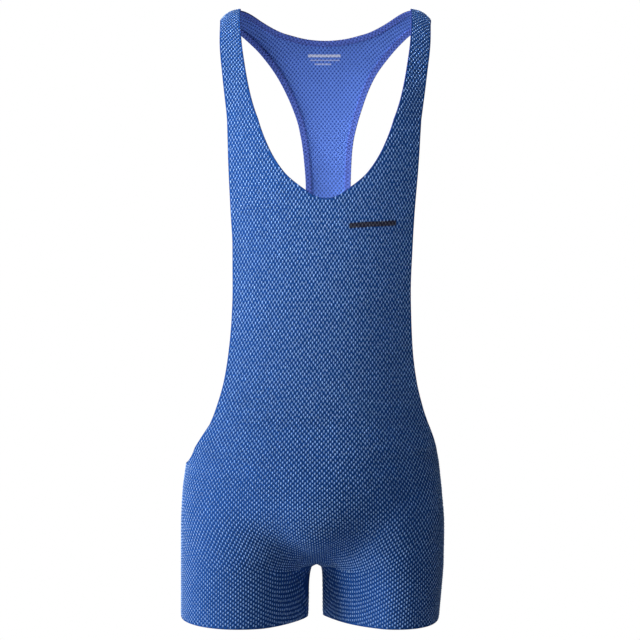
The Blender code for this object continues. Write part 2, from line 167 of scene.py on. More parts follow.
FRONT_ARMHOLE = table(
    "station  left   right",
    (-572,    176,   143.5),
    (-566,    171.5, 142.5),
    (-560,    167,   141),
    (-540,    154,   134.5),
    (-521,    143,   127.5),
    (-502,    135,   120.5),
    (-465,    124,   111),
    (-428,    118,   106),
    (-392,    114.5, 104),
    (-355,    113,   103),
    (-301,    113,   105),
    (-265,    115,   107),
    (-203,    118,   112),
    (-140,    120,   116),
    (-64,     125,   122),
    (-14,     129,   127),
    (30,      131,   130),
    (86,      139,   139),
)
BACK_ARMHOLE = table(
    "station  left   right",
    (-572,    176,   143),
    (-548,    147,   124),
    (-520,    112,   98),
    (-480,    80,    72),
    (-430,    54,    52),
    (-370,    36,    40),
    (-300,    27,    34),
    (-214,    26,    34),
    (-171,    29,    35.5),
    (-149,    32,    38),
    (-118,    36.5,  43),
    (-88,     44,    49.5),
    (-60,     53.5,  57),
    (-34,     65,    67),
    (0,       86,    87.5),
    (24.5,    105,   105),
    (50,      124,   124),
    (86,      139,   139),
)
FRONT_NECK = table(
    "station  half_width",
    (-247,    0),
    (-235,    27.5),
    (-215,    50.5),
    (-186,    68.5),
    (-150,    82),
    (-115,    89.5),
    (-60,     97.5),
    (0,       104),
    (86,      108),
)
BACK_NECK = table(
    "station  half_width",
    (12.5,    0),
    (15.7,    27.5),
    (21,      44),
    (26,      56),
    (37,      72),
    (49.5,    84.5),
    (65,      95.5),
    (86,      108),
)

# The knit: tall bright ribs and dark holes between them, each row of them shifted by half a step
KNIT_ACROSS = 5.2 * MM
KNIT_ALONG = 6.8 * MM
STEP_OF = {"across": KNIT_ACROSS, "along": KNIT_ALONG}

# How the flat knit lies on the figure
CREASE_PLACE = 0.85
CREASE_SPREAD = 90 * MM
CREASE_DROP = 65 * MM
LEG_STRETCH = 0.12
STRAP_MIDDLE = 118 * MM
STRAP_TURN = 0.35
STRAP_TURN_FROM = -90 * MM
STRAP_TURN_OVER = 90 * MM
LEG_MIDDLE = 90 * MM
LEG_TURN = 0.2
LEG_TURN_FROM = -580 * MM
LEG_TURN_OVER = 120 * MM

# The raised ribs
RIB_LENGTH = 5.0 * MM
RIB_WIDTH = 1.8 * MM
RIB_HEIGHT = 0.7 * MM
RIB_SUNK = 0.15 * MM
RIB_SIDES = 6
RIB_RINGS = 2
RIB_SEED = 4
RIB_LEAST = (0.9, 0.88, 0.8)
RIB_MOST = (1.1, 1.1, 1.15)
RIB_TILT = (0.16, 0.25, 0.06)
RIB_STRETCH = (0.85, 1.15)
RIB_GRAIN = 0.6
RIB_SHIFT = 0.03 * MM
SOUND_KNIT = (0.35, 3.2)
EDGE_CLEAR = 1.5 * MM
EDGE_STEP = 0.5 * MM

# The sewing thread
STITCH_STEP = 2.0 * MM
STITCH_SWING = 2.2 * MM
THREAD_RADIUS = 0.22 * MM
THREAD_SIDES = 4


# ---------------------------------------------------------------- the figure's sections


def along(columns, name, at):
    """A column's value at a place along the table's first column, on a smooth curve through its rows."""
    places = next(iter(columns.values()))
    values = columns[name]
    at = min(max(at, places[0]), places[-1])
    slopes = np.diff(values) / np.diff(places)
    ends = np.concatenate([[slopes[0]], slopes, [slopes[-1]]])
    before, after = ends[:-1], ends[1:]
    level = before * after <= 0
    tangents = np.where(level, 0.0, 2 * before * after / np.where(level, 1.0, before + after))
    i = min(int(np.searchsorted(places, at, "right")) - 1, len(places) - 2)
    width = places[i + 1] - places[i]
    t = (at - places[i]) / width
    start = (1 + 2 * t) * (1 - t) ** 2 * values[i] + t * (1 - t) ** 2 * width * tangents[i]
    end = t * t * (3 - 2 * t) * values[i + 1] + t * t * (t - 1) * width * tangents[i + 1]
    return float(start + end)


def ease(t):
    """0 to 1 with a soft start and a soft end."""
    t = np.clip(t, 0.0, 1.0)
    return t * t * (3 - 2 * t)


def side_name(side):
    return "left" if side == LEFT else "right"


def face_name(face):
    return "front" if face == FRONT else "back"


def oval(angles, half_width, depth):
    """The distances out to an oval's edge, at angles from the direction of its depth."""
    across = np.abs(np.sin(angles)) / half_width
    ahead = np.abs(np.cos(angles)) / depth
    return (across**SQUARENESS + ahead**SQUARENESS) ** (-1 / SQUARENESS)


def reach_of_ellipse(angles, side, x, half_width, half_depth):
    """How far rays from the crotch's own axis run before they leave an ellipse centred at x."""
    dx, dy = side * np.sin(angles) / half_width, -np.cos(angles) / half_depth
    px = -x / half_width
    a = dx * dx + dy * dy
    b = px * dx
    inside = b * b - a * (px * px - 1)
    reach = (-b + np.sqrt(np.maximum(inside, 0.0))) / a
    return np.where(inside > 0, np.maximum(reach, 0.0), 0.0)


def thigh(height, side):
    """A thigh's centre across, half-width, and front and back depths."""
    outer = along(THIGHS, side_name(side) + "_outer", height)
    inner = along(THIGHS, side_name(side) + "_inner", height)
    depths = along(THIGHS, "front", height), along(THIGHS, "back", height)
    return (outer + inner) / 2, abs(outer - inner) / 2, *depths


def axis_at(height):
    """The place across of the vertical axis that the level sections turn about."""
    centre = along(FIGURE, "centre", height)
    return centre + (CROTCH_X - centre) * ease((HIP_FULL - height) / (HIP_FULL - CROTCH))


def fallen(points, side, height):
    """Points of the front, drawn back towards the inseam beside the cup and down to the hem."""
    if height >= FALL_TOP:
        return points
    fall = FALLS[side]
    out = np.abs(points[:, 0] - axis_at(height))
    low = min((HIP_FULL - height) / (HIP_FULL - CROTCH), 1.0)
    cup = along(TRUNK_END, "half_width", height) * (1 - low**CAP_SHAPE) ** (1 / CAP_SHAPE)
    start = FALL_START * max(1 - max(CROTCH - height, 0.0) / FALL_START_DROP, 0.0)
    near = ease(out / (FALL_CUP_SHARE * cup + start + FALL_START_LEAST))
    grown = ease((FALL_TOP - height) / (FALL_TOP - LEG_HEM))
    beside = np.maximum(1 - out / fall["spread"], 0.0) ** fall["shape"]
    kept = 1 - fall["most"] * grown * near * beside
    points[:, 1] = np.where(points[:, 1] < 0, points[:, 1] * kept, points[:, 1])
    return points


def leant(points, side, height):
    """Points of the front, moved sideways as their leg turns out."""
    lean = along(THIGHS, side_name(side) + "_lean", height)
    ahead = np.clip(-points[:, 1] / along(THIGHS, "front", height), 0.0, 1.0)
    points[:, 0] += lean * ahead**2 * ease(np.abs(points[:, 0] - axis_at(height)) / LEAN_SPREAD)
    return points


def joined(a, b, softness):
    """The larger of two reaches, with the crossing between them rounded off."""
    softness = np.minimum(softness, np.maximum(a, b) / 2)
    near = np.maximum(softness - np.abs(a - b), 0.0)
    return np.maximum(a, b) + near * near / (4 * softness + 1e-9)


def body_reach(height, side, angles, axis):
    """The smooth union of the trunk and both thighs, seen from the axis."""
    face = "front" if angles[0] < math.pi / 2 - 1e-6 else "back"
    if height > TRUNK_END["height"][-1]:
        half_width = along(FIGURE, side_name(side), height)
        return oval(angles, half_width, along(FIGURE, face, height))
    low = float(np.clip((HIP_FULL - height) / (HIP_FULL - CROTCH), 0.0, 1.0))
    reach = oval(angles, along(TRUNK_END, "half_width", height), along(TRUNK_END, face, height))
    reach = reach * (1 - low**CAP_SHAPE) ** (1 / CAP_SHAPE)
    grown = ease((THIGH_TOP - height) / (THIGH_TOP - THIGH_FULL))
    for leg in (LEFT, RIGHT):
        x, half, front, back = thigh(height, leg)
        depth = front if face == "front" else back
        thigh_reach = reach_of_ellipse(angles, side, x - axis, half, depth)
        reach = joined(reach, thigh_reach * grown, THIGH_SOFTNESS)
    return reach


def level_line(height, face, side, shares):
    """Points of a level section above the crotch, from the face's middle to the side seam."""
    angles = math.pi / 2 * shares
    angles = angles if face == FRONT else math.pi - angles
    axis = axis_at(height)
    reach = body_reach(height, side, angles, axis)
    half_width = along(FIGURE, side_name(side), height)
    wanted = half_width + side * (along(FIGURE, "centre", height) - axis)
    across = reach * np.sin(angles) * wanted / reach[-1]
    points = np.stack([axis + side * across, -reach * np.cos(angles), np.full_like(reach, height)], 1)
    return leant(fallen(points, side, height), side, height)


def leg_line(height, face, side, shares):
    """Points of half a leg's ring, from the inseam to the side seam."""
    turns = math.pi * shares
    x, half, front, back = thigh(height, side)
    places = x - side * half * np.cos(turns)
    drop = min((CROTCH - height) / CROTCH_ROUND, 1.0)
    rounding = CROTCH_ROUND * math.sqrt(1 - (1 - drop) ** 2)
    near = np.where(shares < 0.5, (1 - np.abs(np.sin(turns))) ** 2, 0.0)
    places = places + side * rounding * near
    depth = face * (front if face == FRONT else back) * np.sin(turns)
    points = np.stack([places, depth, np.full_like(depth, height)], 1)
    return leant(fallen(points, side, height), side, height)


def arch_line(station, face, side, across):
    """Points over the shoulder, by their distances across the cloth from the middle."""
    angle = (station - CHEST_LINE) / ARCH_LENGTH * math.pi / 2
    depth = along(FIGURE, face_name(face), CHEST_LINE)
    rise = (CREST_TOP - CHEST_LINE) / (1 - (STRAP_INNER / SHOULDER_SPREAD) ** 2) ** 0.5
    ahead, up = math.cos(angle) / depth, math.sin(angle) / rise
    reach = (abs(ahead) ** ARCH_SQUARENESS + abs(up) ** ARCH_SQUARENESS) ** (-1 / ARCH_SQUARENESS)
    lift = ease(angle / (math.pi / 2))
    spread = along(FIGURE, side_name(side), CHEST_LINE)
    spread += (SHOULDER_SPREAD - spread) * lift
    squareness = SQUARENESS - CREST_LESS_SQUARE * lift
    curl = ease((angle - CURL_FROM_ANGLE) / (math.pi / 2 - CURL_FROM_ANGLE)) / CURL_RADIUS
    drop = np.zeros_like(across)
    if curl > 0.01:
        past = np.maximum(across - CURL_START, 0.0)
        across = np.where(past > 0, CURL_START + np.sin(past * curl) / curl, across)
        drop = (1 - np.cos(past * curl)) / curl
    out = reach * (1 - (across / spread) ** squareness) ** (1 / squareness) - drop
    return np.stack([side * across, face * out * math.cos(angle), CHEST_LINE + out * math.sin(angle)], 1)


def neck_at(edge, station):
    """The half-width of a neck edge. Its square is what runs smoothly down to the lowest point."""
    if station <= edge["station"][0]:
        return 0.0
    squares = {"station": edge["station"], "square": edge["half_width"] ** 2}
    return math.sqrt(max(along(squares, "square", station), 0.0))


def angle_at(height, side, face, across):
    """The section angle, from the face's own middle, of a point at a distance from the origin's plane."""
    centre = along(FIGURE, "centre", height)
    half_width = along(FIGURE, side_name(side), height)
    depth = along(FIGURE, face_name(face), height)
    out = min(max((across - side * centre) / half_width, 0.0), 1.0)
    return math.atan2(out * half_width, depth * (1 - out**SQUARENESS) ** (1 / SQUARENESS))


def stops(start, end, count, soft_start, soft_end):
    """Places from start up to end, closer together at a soft end. The start itself is left out."""
    shares = np.arange(1, count + 1) / count
    if soft_start and soft_end:
        shares = (1 - np.cos(math.pi * shares)) / 2
    elif soft_start:
        shares = 1 - np.cos(math.pi / 2 * shares)
    elif soft_end:
        shares = np.sin(math.pi / 2 * shares)
    return [*(start + (end - start) * shares[:-1]), end]


def stations_of(face):
    """The places of a panel's rows, from the leg hem to the crest."""
    low = [LEG_HEM]
    low += stops(LEG_HEM, CROTCH, LEG_ROWS, False, True)
    low += stops(CROTCH, ARMHOLE_BOTTOM, SEAT_ROWS, True, True)
    if face == FRONT:
        low += stops(ARMHOLE_BOTTOM, SCOOP_BOTTOM, BODY_ROWS, True, True)
        low += stops(SCOOP_BOTTOM, CHEST_LINE, SCOOP_ROWS, True, False)
        return low + stops(CHEST_LINE, CREST_STATION, FRONT_ARCH_ROWS, False, False)
    low += stops(ARMHOLE_BOTTOM, CHEST_LINE, BACK_LOW_ROWS, True, False)
    low += stops(CHEST_LINE, BACK_NECK_BOTTOM, BACK_STRIP_ROWS, False, True)
    return low + stops(BACK_NECK_BOTTOM, CREST_STATION, BACK_NECK_ROWS, True, False)


# ---------------------------------------------------------------- the cloth as rows of points


def spaced(first, last, whole):
    """The columns' distances from first to last, bunched up only near an end that is cut back."""
    shares = np.linspace(0, 1, COLUMNS + 1)
    before, after = first / whole, 1 - last / whole
    drawn = before * (1 - shares) ** max(BUNCHING / max(before, 0.001), 1)
    drawn -= after * shares ** max(BUNCHING / max(after, 0.001), 1)
    return (shares + drawn) * whole


def unit(ways):
    return ways / np.linalg.norm(ways, axis=1)[:, None]


def measured(points):
    """Distances along a line of points, from its start."""
    return np.concatenate([[0.0], np.cumsum(np.linalg.norm(np.diff(points, axis=0), axis=1))])


# How far apart the knit's ribs stand where the cloth is stretched
KNIT_STEPS = {
    FRONT: table(
        "station  across  along",
        (-764.5,  5.45,   5.2),
        (-700,    5.4,    5.45),
        (-610,    5.9,    6.03),
        (-530,    5.2,    6.37),
        (-450,    4.8,    6.74),
        (-360,    4.52,   7.03),
        (-280,    4.45,   7.1),
        (-200,    4.6,    7.25),
        (-130,    4.5,    6.8),
        (-60,     4.35,   6.2),
        (86,      4.35,   6.0),
    ),
    BACK: table(
        "station  across  along",
        (-764.5,  5.45,   5.2),
        (-700,    5.4,    5.45),
        (-610,    5.9,    6.03),
        (-450,    5.2,    6.5),
        (-150,    5.1,    6.4),
        (86,      5.1,    6.4),
    ),
}


class Row:
    """Half a row of cloth, as a fine line with its lengths and the places of the panel's columns on it."""

    def __init__(self, station, face, side):
        shares = np.linspace(0, 1, ROW_SAMPLES + 1)
        self.station = station
        if station <= CROTCH:
            self.line = leg_line(station, face, side, shares)
            self.lengths = measured(self.line)
            self.places = spaced(0, self.lengths[-1], self.lengths[-1])
            return
        neck = neck_at(FRONT_NECK if face == FRONT else BACK_NECK, station)
        edge = FRONT_ARMHOLE if face == FRONT else BACK_ARMHOLE
        armhole = along(edge, side_name(side), station)
        if station > CHEST_LINE:
            self.line = arch_line(station, face, side, armhole * shares)
            self.lengths = measured(self.line)
            whole = self.lengths[-1]
            first = float(np.interp(neck / armhole, shares, self.lengths))
            self.places = first + spaced(0, whole - first, whole - first)
            return
        start = angle_at(station, side, face, neck) if neck > 0 else 0.0
        end = angle_at(station, side, face, armhole) if station > ARMHOLE_BOTTOM else math.pi / 2
        self.line = level_line(station, face, side, shares)
        self.lengths = measured(self.line)
        folded = abs(self.line[0, 1]) * ease((HIP_FULL - station) / (HIP_FULL - CROTCH))
        first, last = np.interp((start, end), math.pi / 2 * shares, self.lengths)
        self.places = spaced(first + folded, last + folded, self.lengths[-1] + folded) - folded

    def at_places(self, values):
        return np.interp(self.places, self.lengths, values)

    def points(self):
        return np.stack([self.at_places(self.line[:, k]) for k in range(3)], 1)


def nearest_on(points, line, values):
    """For each point its distance from a line, and the line's value at the nearest place."""
    starts, ways = line[:-1], np.diff(line, axis=0)
    lengths = np.maximum((ways**2).sum(1), 1e-16)
    offsets = points[:, None] - starts[None]
    shares = np.clip((offsets * ways[None]).sum(2) / lengths[None], 0, 1)
    gaps = np.linalg.norm(offsets - shares[..., None] * ways[None], axis=2)
    best = gaps.argmin(1)
    every = np.arange(len(points))
    share = shares[every, best]
    return gaps[every, best], values[best] * (1 - share) + values[best + 1] * share


def knit_heights(rows, steps):
    """How far up the flat knit each place of each row lies, from the chest line."""
    full = [np.concatenate([left.line[::-1], right.line]) for left, right in rows]
    stations = np.array([left.station for left, _ in rows])
    start = int(np.abs(stations - CHEST_LINE).argmin())
    heights = [None] * len(rows)
    heights[start] = np.zeros(len(full[start]))
    for order, way in ((range(start + 1, len(rows)), 1), (range(start - 1, -1, -1), -1)):
        for i in order:
            gaps, values = nearest_on(full[i], full[i - way], heights[i - way])
            heights[i] = values + way * gaps * KNIT_ALONG / along(steps, "along", stations[i])
    return heights


def knit_widths(row, side, hip_length):
    """How far across the flat knit each place of a row lies. The groin's crease takes up cloth to spare."""
    station, lengths = row.station, row.lengths
    if station >= HIP_FULL:
        return side * lengths
    lengths = lengths * (1 - LEG_STRETCH * ease((HIP_FULL - station) / (HIP_FULL - CROTCH)))
    spare = lengths[-1] - hip_length
    start = 0.0
    if station > CROTCH:
        out = np.abs(row.line[:, 0] - axis_at(station))
        crease = np.interp(CREASE_PLACE * along(TRUNK_END, "half_width", station), out, lengths)
        start = max(crease - CREASE_SPREAD / 2, 0.0)
    taken = ease((lengths - start) / CREASE_SPREAD)
    below = ease((CROTCH - station) / CREASE_DROP)
    return side * (lengths - spare * (taken + (1 - taken) * below))


def knit_turn(station, face, side, widths):
    """How far the knit's rows rise across a front strap, and down towards the outside of a leg."""
    strap = STRAP_TURN * ease((station - STRAP_TURN_FROM) / STRAP_TURN_OVER) if face == FRONT else 0.0
    leg = LEG_TURN * ease((LEG_TURN_FROM - station) / LEG_TURN_OVER)
    return strap * (widths - side * STRAP_MIDDLE) + leg * (side * widths - LEG_MIDDLE)


class Cloth:
    """Both panels' outer surface: its points, the way outwards at each, and its place in the knit."""

    def __init__(self):
        self.stations = {face: stations_of(face) for face in (FRONT, BACK)}
        points, widths, heights = [], [], []
        self.grids = {}
        for face in (FRONT, BACK):
            rows = [(Row(at, face, LEFT), Row(at, face, RIGHT)) for at in self.stations[face]]
            steps = KNIT_STEPS[face]
            rises = knit_heights(rows, steps)
            hip = [i for i, at in enumerate(self.stations[face]) if at >= HIP_FULL][0]
            for which, side in enumerate((LEFT, RIGHT)):
                hip_length = rows[hip][which].lengths[-1]
                grid = []
                for pair, rise in zip(rows, rises):
                    row = pair[which]
                    half = rise[ROW_SAMPLES + 1 :] if side == RIGHT else rise[ROW_SAMPLES::-1]
                    grid.append(np.arange(COLUMNS + 1) + len(points) * (COLUMNS + 1))
                    points.append(row.points())
                    width = row.at_places(knit_widths(row, side, hip_length))
                    turn = knit_turn(row.station, face, side, width)
                    stretch = [step / along(steps, way, row.station) for way, step in STEP_OF.items()]
                    widths.append(width * stretch[0])
                    heights.append(row.at_places(half) + turn * stretch[1])
                self.grids[face, side] = np.array(grid)
        front_count = 2 * len(self.stations[FRONT]) * (COLUMNS + 1)
        points = np.concatenate(points)
        keys = np.round(points / SAME_PLACE).astype(np.int64)
        _, first, place = np.unique(keys, axis=0, return_index=True, return_inverse=True)
        place = place.reshape(-1)
        self.points = points[first]
        flat = np.stack([np.concatenate(widths), np.concatenate(heights)], 1)
        self.flat = {FRONT: np.zeros((len(first), 2)), BACK: np.zeros((len(first), 2))}
        self.flat[FRONT][place[:front_count]] = flat[:front_count]
        self.flat[BACK][place[front_count:]] = flat[front_count:]
        self.grids = {key: place[grid] for key, grid in self.grids.items()}
        self.faces = {face: self.triangles(face) for face in (FRONT, BACK)}
        self.normals = self.outwards(np.concatenate([self.faces[FRONT], self.faces[BACK]]))

    def triangles(self, face):
        """Each cell of a panel's grids as two triangles, cut along its shorter diagonal."""
        found = []
        for side in (LEFT, RIGHT):
            grid = self.grids[face, side]
            a, b, c, d = grid[:-1, :-1], grid[:-1, 1:], grid[1:, 1:], grid[1:, :-1]
            if face * side > 0:
                b, d = d, b
            a, b, c, d = (corner.reshape(-1) for corner in (a, b, c, d))
            across = np.linalg.norm(self.points[c] - self.points[a], axis=1)
            other = np.linalg.norm(self.points[d] - self.points[b], axis=1)
            short = (across < other)[:, None]
            found.append(np.where(short, np.stack([a, b, c], 1), np.stack([a, b, d], 1)))
            found.append(np.where(short, np.stack([a, c, d], 1), np.stack([b, c, d], 1)))
        return np.concatenate(found)

    def outwards(self, triangles):
        corners = self.points[triangles]
        normals = np.cross(corners[:, 1] - corners[:, 0], corners[:, 2] - corners[:, 0])
        total = np.zeros_like(self.points)
        for k in range(3):
            np.add.at(total, triangles[:, k], normals)
        return unit(total)

    def inner(self):
        return self.points - CLOTH * self.normals


# ---------------------------------------------------------------- making the pieces


def in_scene(name, data):
    """An object in the scene, made of some data."""
    made = bpy.data.objects.new(name, data)
    bpy.context.scene.collection.objects.link(made)
    return made


def lay_flat(mesh, flat):
    """Gives a mesh its UV map: each point's place in the flat knit."""
    knit = mesh.uv_layers.new(name="flat_knit")
    corners = np.empty(len(mesh.loops), np.int32)
    mesh.loops.foreach_get("vertex_index", corners)
    knit.data.foreach_set("uv", flat[corners].astype(np.float32).reshape(-1))


def make_piece(name, points, faces, flat, kinds, materials):
    """A smooth-shaded object with its flat places as its UV map."""
    mesh = bpy.data.meshes.new(name)
    mesh.from_pydata(points.tolist(), [], [list(map(int, f)) for f in faces])
    lay_flat(mesh, flat)
    for material in materials:
        mesh.materials.append(material)
    mesh.polygons.foreach_set("material_index", np.asarray(kinds, np.int32))
    mesh.shade_smooth()
    mesh.set_sharp_from_angle(angle=SHARP_ANGLE)
    mesh.update()
    return in_scene(name, mesh)


def edge_order(triangles):
    """The free edges of some triangles, each as the point that follows a point."""
    sides = np.concatenate([triangles[:, [0, 1]], triangles[:, [1, 2]], triangles[:, [2, 0]]])
    size = int(triangles.max()) + 1
    codes = sides[:, 0].astype(np.int64) * size + sides[:, 1]
    back = sides[:, 1].astype(np.int64) * size + sides[:, 0]
    free = sides[~np.isin(codes, back)]
    return dict(free.tolist())


def seam_points(cloth, face):
    """The points of a panel's edge that are sewn to the other panel."""
    sewn = set()
    for side in (LEFT, RIGHT):
        grid = cloth.grids[face, side]
        at = np.array(cloth.stations[face])
        sewn |= set(grid[at <= ARMHOLE_BOTTOM, -1].tolist())
        sewn |= set(grid[at <= CROTCH, 0].tolist())
        sewn |= set(grid[-1].tolist())
    return sewn


def make_panel(name, cloth, face, materials):
    """A panel's thin wall, with a rounded fold at its free edges and a cut end at its seams."""
    triangles = cloth.faces[face]
    after = edge_order(triangles)
    before = {b: a for a, b in after.items()}
    sewn = seam_points(cloth, face)
    used = np.unique(triangles)
    place = np.full(len(cloth.points), -1)
    place[used] = np.arange(len(used))
    count = len(used)
    edge = np.array(sorted(after))
    ways = cloth.points[[after[i] for i in edge]] - cloth.points[[before[i] for i in edge]]
    normals = cloth.normals[edge]
    outs = unit(np.cross(ways, normals))
    ends = np.array([i in sewn for i in edge.tolist()])
    outer, inner = cloth.points.copy(), cloth.inner()
    shift = -SEAM_DRAW * outs * ends[:, None]
    outer[edge] += shift
    inner[edge] += shift
    middle = (outer[edge] + inner[edge]) / 2
    bulge = np.where(ends, 0.0, FOLD_BULGE)[:, None]
    points = [outer[used], inner[used]]
    for turn in FOLD_TURNS:
        lift, out = math.cos(math.radians(turn)), math.sin(math.radians(turn))
        points.append(middle + CLOTH / 2 * lift * normals + bulge * out * outs)
    flat = cloth.flat[face]
    flat = np.concatenate([flat[used]] * 2 + [flat[edge]] * len(FOLD_TURNS))
    outside = place[triangles]
    faces = [*outside.tolist(), *(outside[:, ::-1] + count).tolist()]
    kinds = [0] * len(outside) + [1] * len(outside)
    ring = {int(i): n for n, i in enumerate(edge)}
    rims = len(FOLD_TURNS)
    for i, j in sorted(after.items()):
        first, second = [place[i]], [place[j]]
        for k in range(rims):
            first.append(2 * count + k * len(edge) + ring[i])
            second.append(2 * count + k * len(edge) + ring[j])
        first.append(place[i] + count)
        second.append(place[j] + count)
        for k in range(rims + 1):
            faces.append([second[k], first[k], first[k + 1], second[k + 1]])
            kinds.append(1 if i in sewn and j in sewn else 2)
    return make_piece(name, np.concatenate(points), faces, flat, kinds, materials)


def even_loop(cloth, loop):
    """Even steps along the inner side of a closed edge, each with the wall's direction there."""
    order = np.append(loop, loop[0])
    points, normals = cloth.inner()[order], cloth.normals[order]
    lengths = measured(points)
    count = round(lengths[-1] / HEM_STEP)
    places = np.arange(count) / count * lengths[-1]
    steps = [np.stack([np.interp(places, lengths, a[:, k]) for k in range(3)], 1) for a in (points, normals)]
    return places, steps[0], unit(steps[1])


def inner_wall(cloth):
    triangles = np.concatenate([cloth.faces[FRONT], cloth.faces[BACK]])
    return BVHTree.FromPolygons(cloth.inner().tolist(), triangles.tolist())


def make_hem(name, cloth, wall, loop, material):
    """A turned hem: a thin band round a closed edge, laid on the inner side of the wall."""
    lengths, edges, normals = even_loop(cloth, loop)
    ahead = np.roll(edges, -1, 0) - np.roll(edges, 1, 0)
    into = unit(np.cross(ahead, normals))
    laid, ways = [], []
    for share in HEM_ACROSS:
        spots, faced = [], []
        for edge, way, normal in zip(edges, into, normals):
            met, normal_there, _, _ = wall.find_nearest(Vector(edge + way * HEM_WIDTH * share))
            spots.append(met)
            faced.append(normal_there)
        spots, faced = np.array(spots), np.array(faced)
        for _ in range(HEM_SMOOTHINGS):
            faced = unit(faced + np.roll(faced, 1, 0) + np.roll(faced, -1, 0))
        laid.append(spots)
        ways.append(faced)
    middle = HEM_GAP + HEM_CLOTH / 2
    ring = [
        *(spots - HEM_GAP * faced for spots, faced in zip(laid, ways)),
        laid[-1] - middle * ways[-1] + HEM_BULGE * into,
        *(spots - (HEM_GAP + HEM_CLOTH) * faced for spots, faced in zip(laid[::-1], ways[::-1])),
        laid[0] - middle * ways[0] - HEM_BULGE * into,
    ]
    across = [*HEM_ACROSS, 1 + HEM_BULGE_SHARE, *HEM_ACROSS[::-1], -HEM_BULGE_SHARE]
    count, around = len(edges), len(ring)
    points = np.stack(ring, 1).reshape(-1, 3)
    flat = np.stack([np.repeat(lengths, around), np.tile(across, count) * HEM_WIDTH], 1)
    faces = []
    for n in range(count):
        near, beyond = n * around, (n + 1) % count * around
        for k in range(around):
            turn = (k + 1) % around
            faces.append([near + k, near + turn, beyond + turn, beyond + k])
    band = make_piece(name, points, faces, flat, [0] * len(faces), [material])
    sewn = len(HEM_ACROSS) - 2
    lift = HEM_GAP + HEM_CLOTH + THREAD_RADIUS / 2
    return band, laid[sewn] - lift * ways[sewn], into


def armhole_loop(cloth, side):
    """The armhole's edge, up the front, over the crest and down the back."""
    edge = []
    for face in (FRONT, BACK):
        at = np.array(cloth.stations[face])
        edge.append(cloth.grids[face, side][at >= ARMHOLE_BOTTOM, -1].tolist())
    loop = edge[0] + edge[1][::-1][1:-1]
    return loop if side == LEFT else loop[::-1]


def neck_loop(cloth):
    """The neck's edge: down the left strap, up the right one, and round the back neck."""
    loop = []
    for face, side, lowest in (
        (FRONT, LEFT, SCOOP_BOTTOM),
        (FRONT, RIGHT, SCOOP_BOTTOM),
        (BACK, RIGHT, BACK_NECK_BOTTOM),
        (BACK, LEFT, BACK_NECK_BOTTOM),
    ):
        at = np.array(cloth.stations[face])
        edge = cloth.grids[face, side][at >= lowest - SAME_PLACE, 0].tolist()
        loop += edge[:0:-1] if face * side > 0 else edge[:-1]
    return loop


def leg_loop(cloth, side):
    """A leg's lowest row, from the inseam over the front, round the side and back again."""
    front, back = cloth.grids[FRONT, side][0].tolist(), cloth.grids[BACK, side][0].tolist()
    loop = front[:-1] + back[:0:-1]
    return loop if side == LEFT else loop[::-1]


# ---------------------------------------------------------------- what repeats over the cloth


def sides_of(triangles, points):
    """Points close together along all the free edges of some triangles."""
    found = []
    for a, b in edge_order(triangles).items():
        count = max(2, int(np.linalg.norm(points[b] - points[a]) / EDGE_STEP) + 1)
        found.append(points[a] + (points[b] - points[a]) * np.linspace(0, 1, count)[:, None])
    return np.concatenate(found)


def rib_places(cloth, face):
    """Each rib's place on a panel, the way outwards, the knit's way up, its stretch and its flat place."""
    triangles = cloth.faces[face]
    half = np.array([KNIT_ACROSS, KNIT_ALONG]) / 2
    flat = (cloth.flat[face][triangles] - RIB_SHIFT) / half
    lowest = np.ceil(flat.min(1)).astype(int)
    first, second = flat[:, 1] - flat[:, 0], flat[:, 2] - flat[:, 0]
    area = first[:, 0] * second[:, 1] - first[:, 1] * second[:, 0]
    area = np.where(np.abs(area) < 1e-9, 1e-9, area)
    corners = cloth.points[triangles]
    ahead, beyond = corners[:, 1] - corners[:, 0], corners[:, 2] - corners[:, 0]
    upwards = (beyond * first[:, :1] - ahead * second[:, :1]) / area[:, None]
    aside = (ahead * second[:, 1:] - beyond * first[:, 1:]) / area[:, None]
    drawn = np.stack([np.linalg.norm(way, axis=1) for way in (aside, upwards)], 1) / half
    sound = ((drawn > SOUND_KNIT[0]) & (drawn < SOUND_KNIT[1])).all(1)
    stretch = np.ones((len(triangles), 3))
    stretch[:, 1] = np.clip(drawn[:, 1], *RIB_STRETCH)
    places, outs, ups, spots, grown = [], [], [], [], []
    for i in range(3):
        for j in range(3):
            cell = lowest + (i, j)
            off = cell - flat[:, 0]
            b = (off[:, 0] * second[:, 1] - off[:, 1] * second[:, 0]) / area
            c = (first[:, 0] * off[:, 1] - first[:, 1] * off[:, 0]) / area
            kept = sound & (b >= 0) & (c >= 0) & (b + c <= 1) & (cell.sum(1) % 2 == 1)
            shares = np.stack([1 - b - c, b, c], 1)[kept, :, None]
            places.append((corners[kept] * shares).sum(1))
            outs.append((cloth.normals[triangles[kept]] * shares).sum(1))
            ups.append(upwards[kept])
            spots.append(cell[kept] * half + RIB_SHIFT)
            grown.append(stretch[kept])
    found = [np.concatenate(part) for part in (places, outs, ups, grown, spots)]
    places = found[0]
    edge = sides_of(triangles, cloth.points)
    near = KDTree(len(edge))
    for i, point in enumerate(edge):
        near.insert(point, i)
    near.balance()
    clear = np.array([near.find(place)[2] > EDGE_CLEAR for place in places])
    return [part[clear] for part in found]


def marked_points(name, places, directions, closed=False):
    """An object of loose points, or of one closed line of them, with named directions at each."""
    mesh = bpy.data.meshes.new(name)
    count = len(places)
    links = [(i, (i + 1) % count) for i in range(count)] if closed else []
    mesh.from_pydata(places.tolist(), links, [])
    for direction, values in directions.items():
        kept = mesh.attributes.new(direction, "FLOAT_VECTOR", "POINT")
        kept.data.foreach_set("vector", values.astype(np.float32).reshape(-1))
    return in_scene(name, mesh)


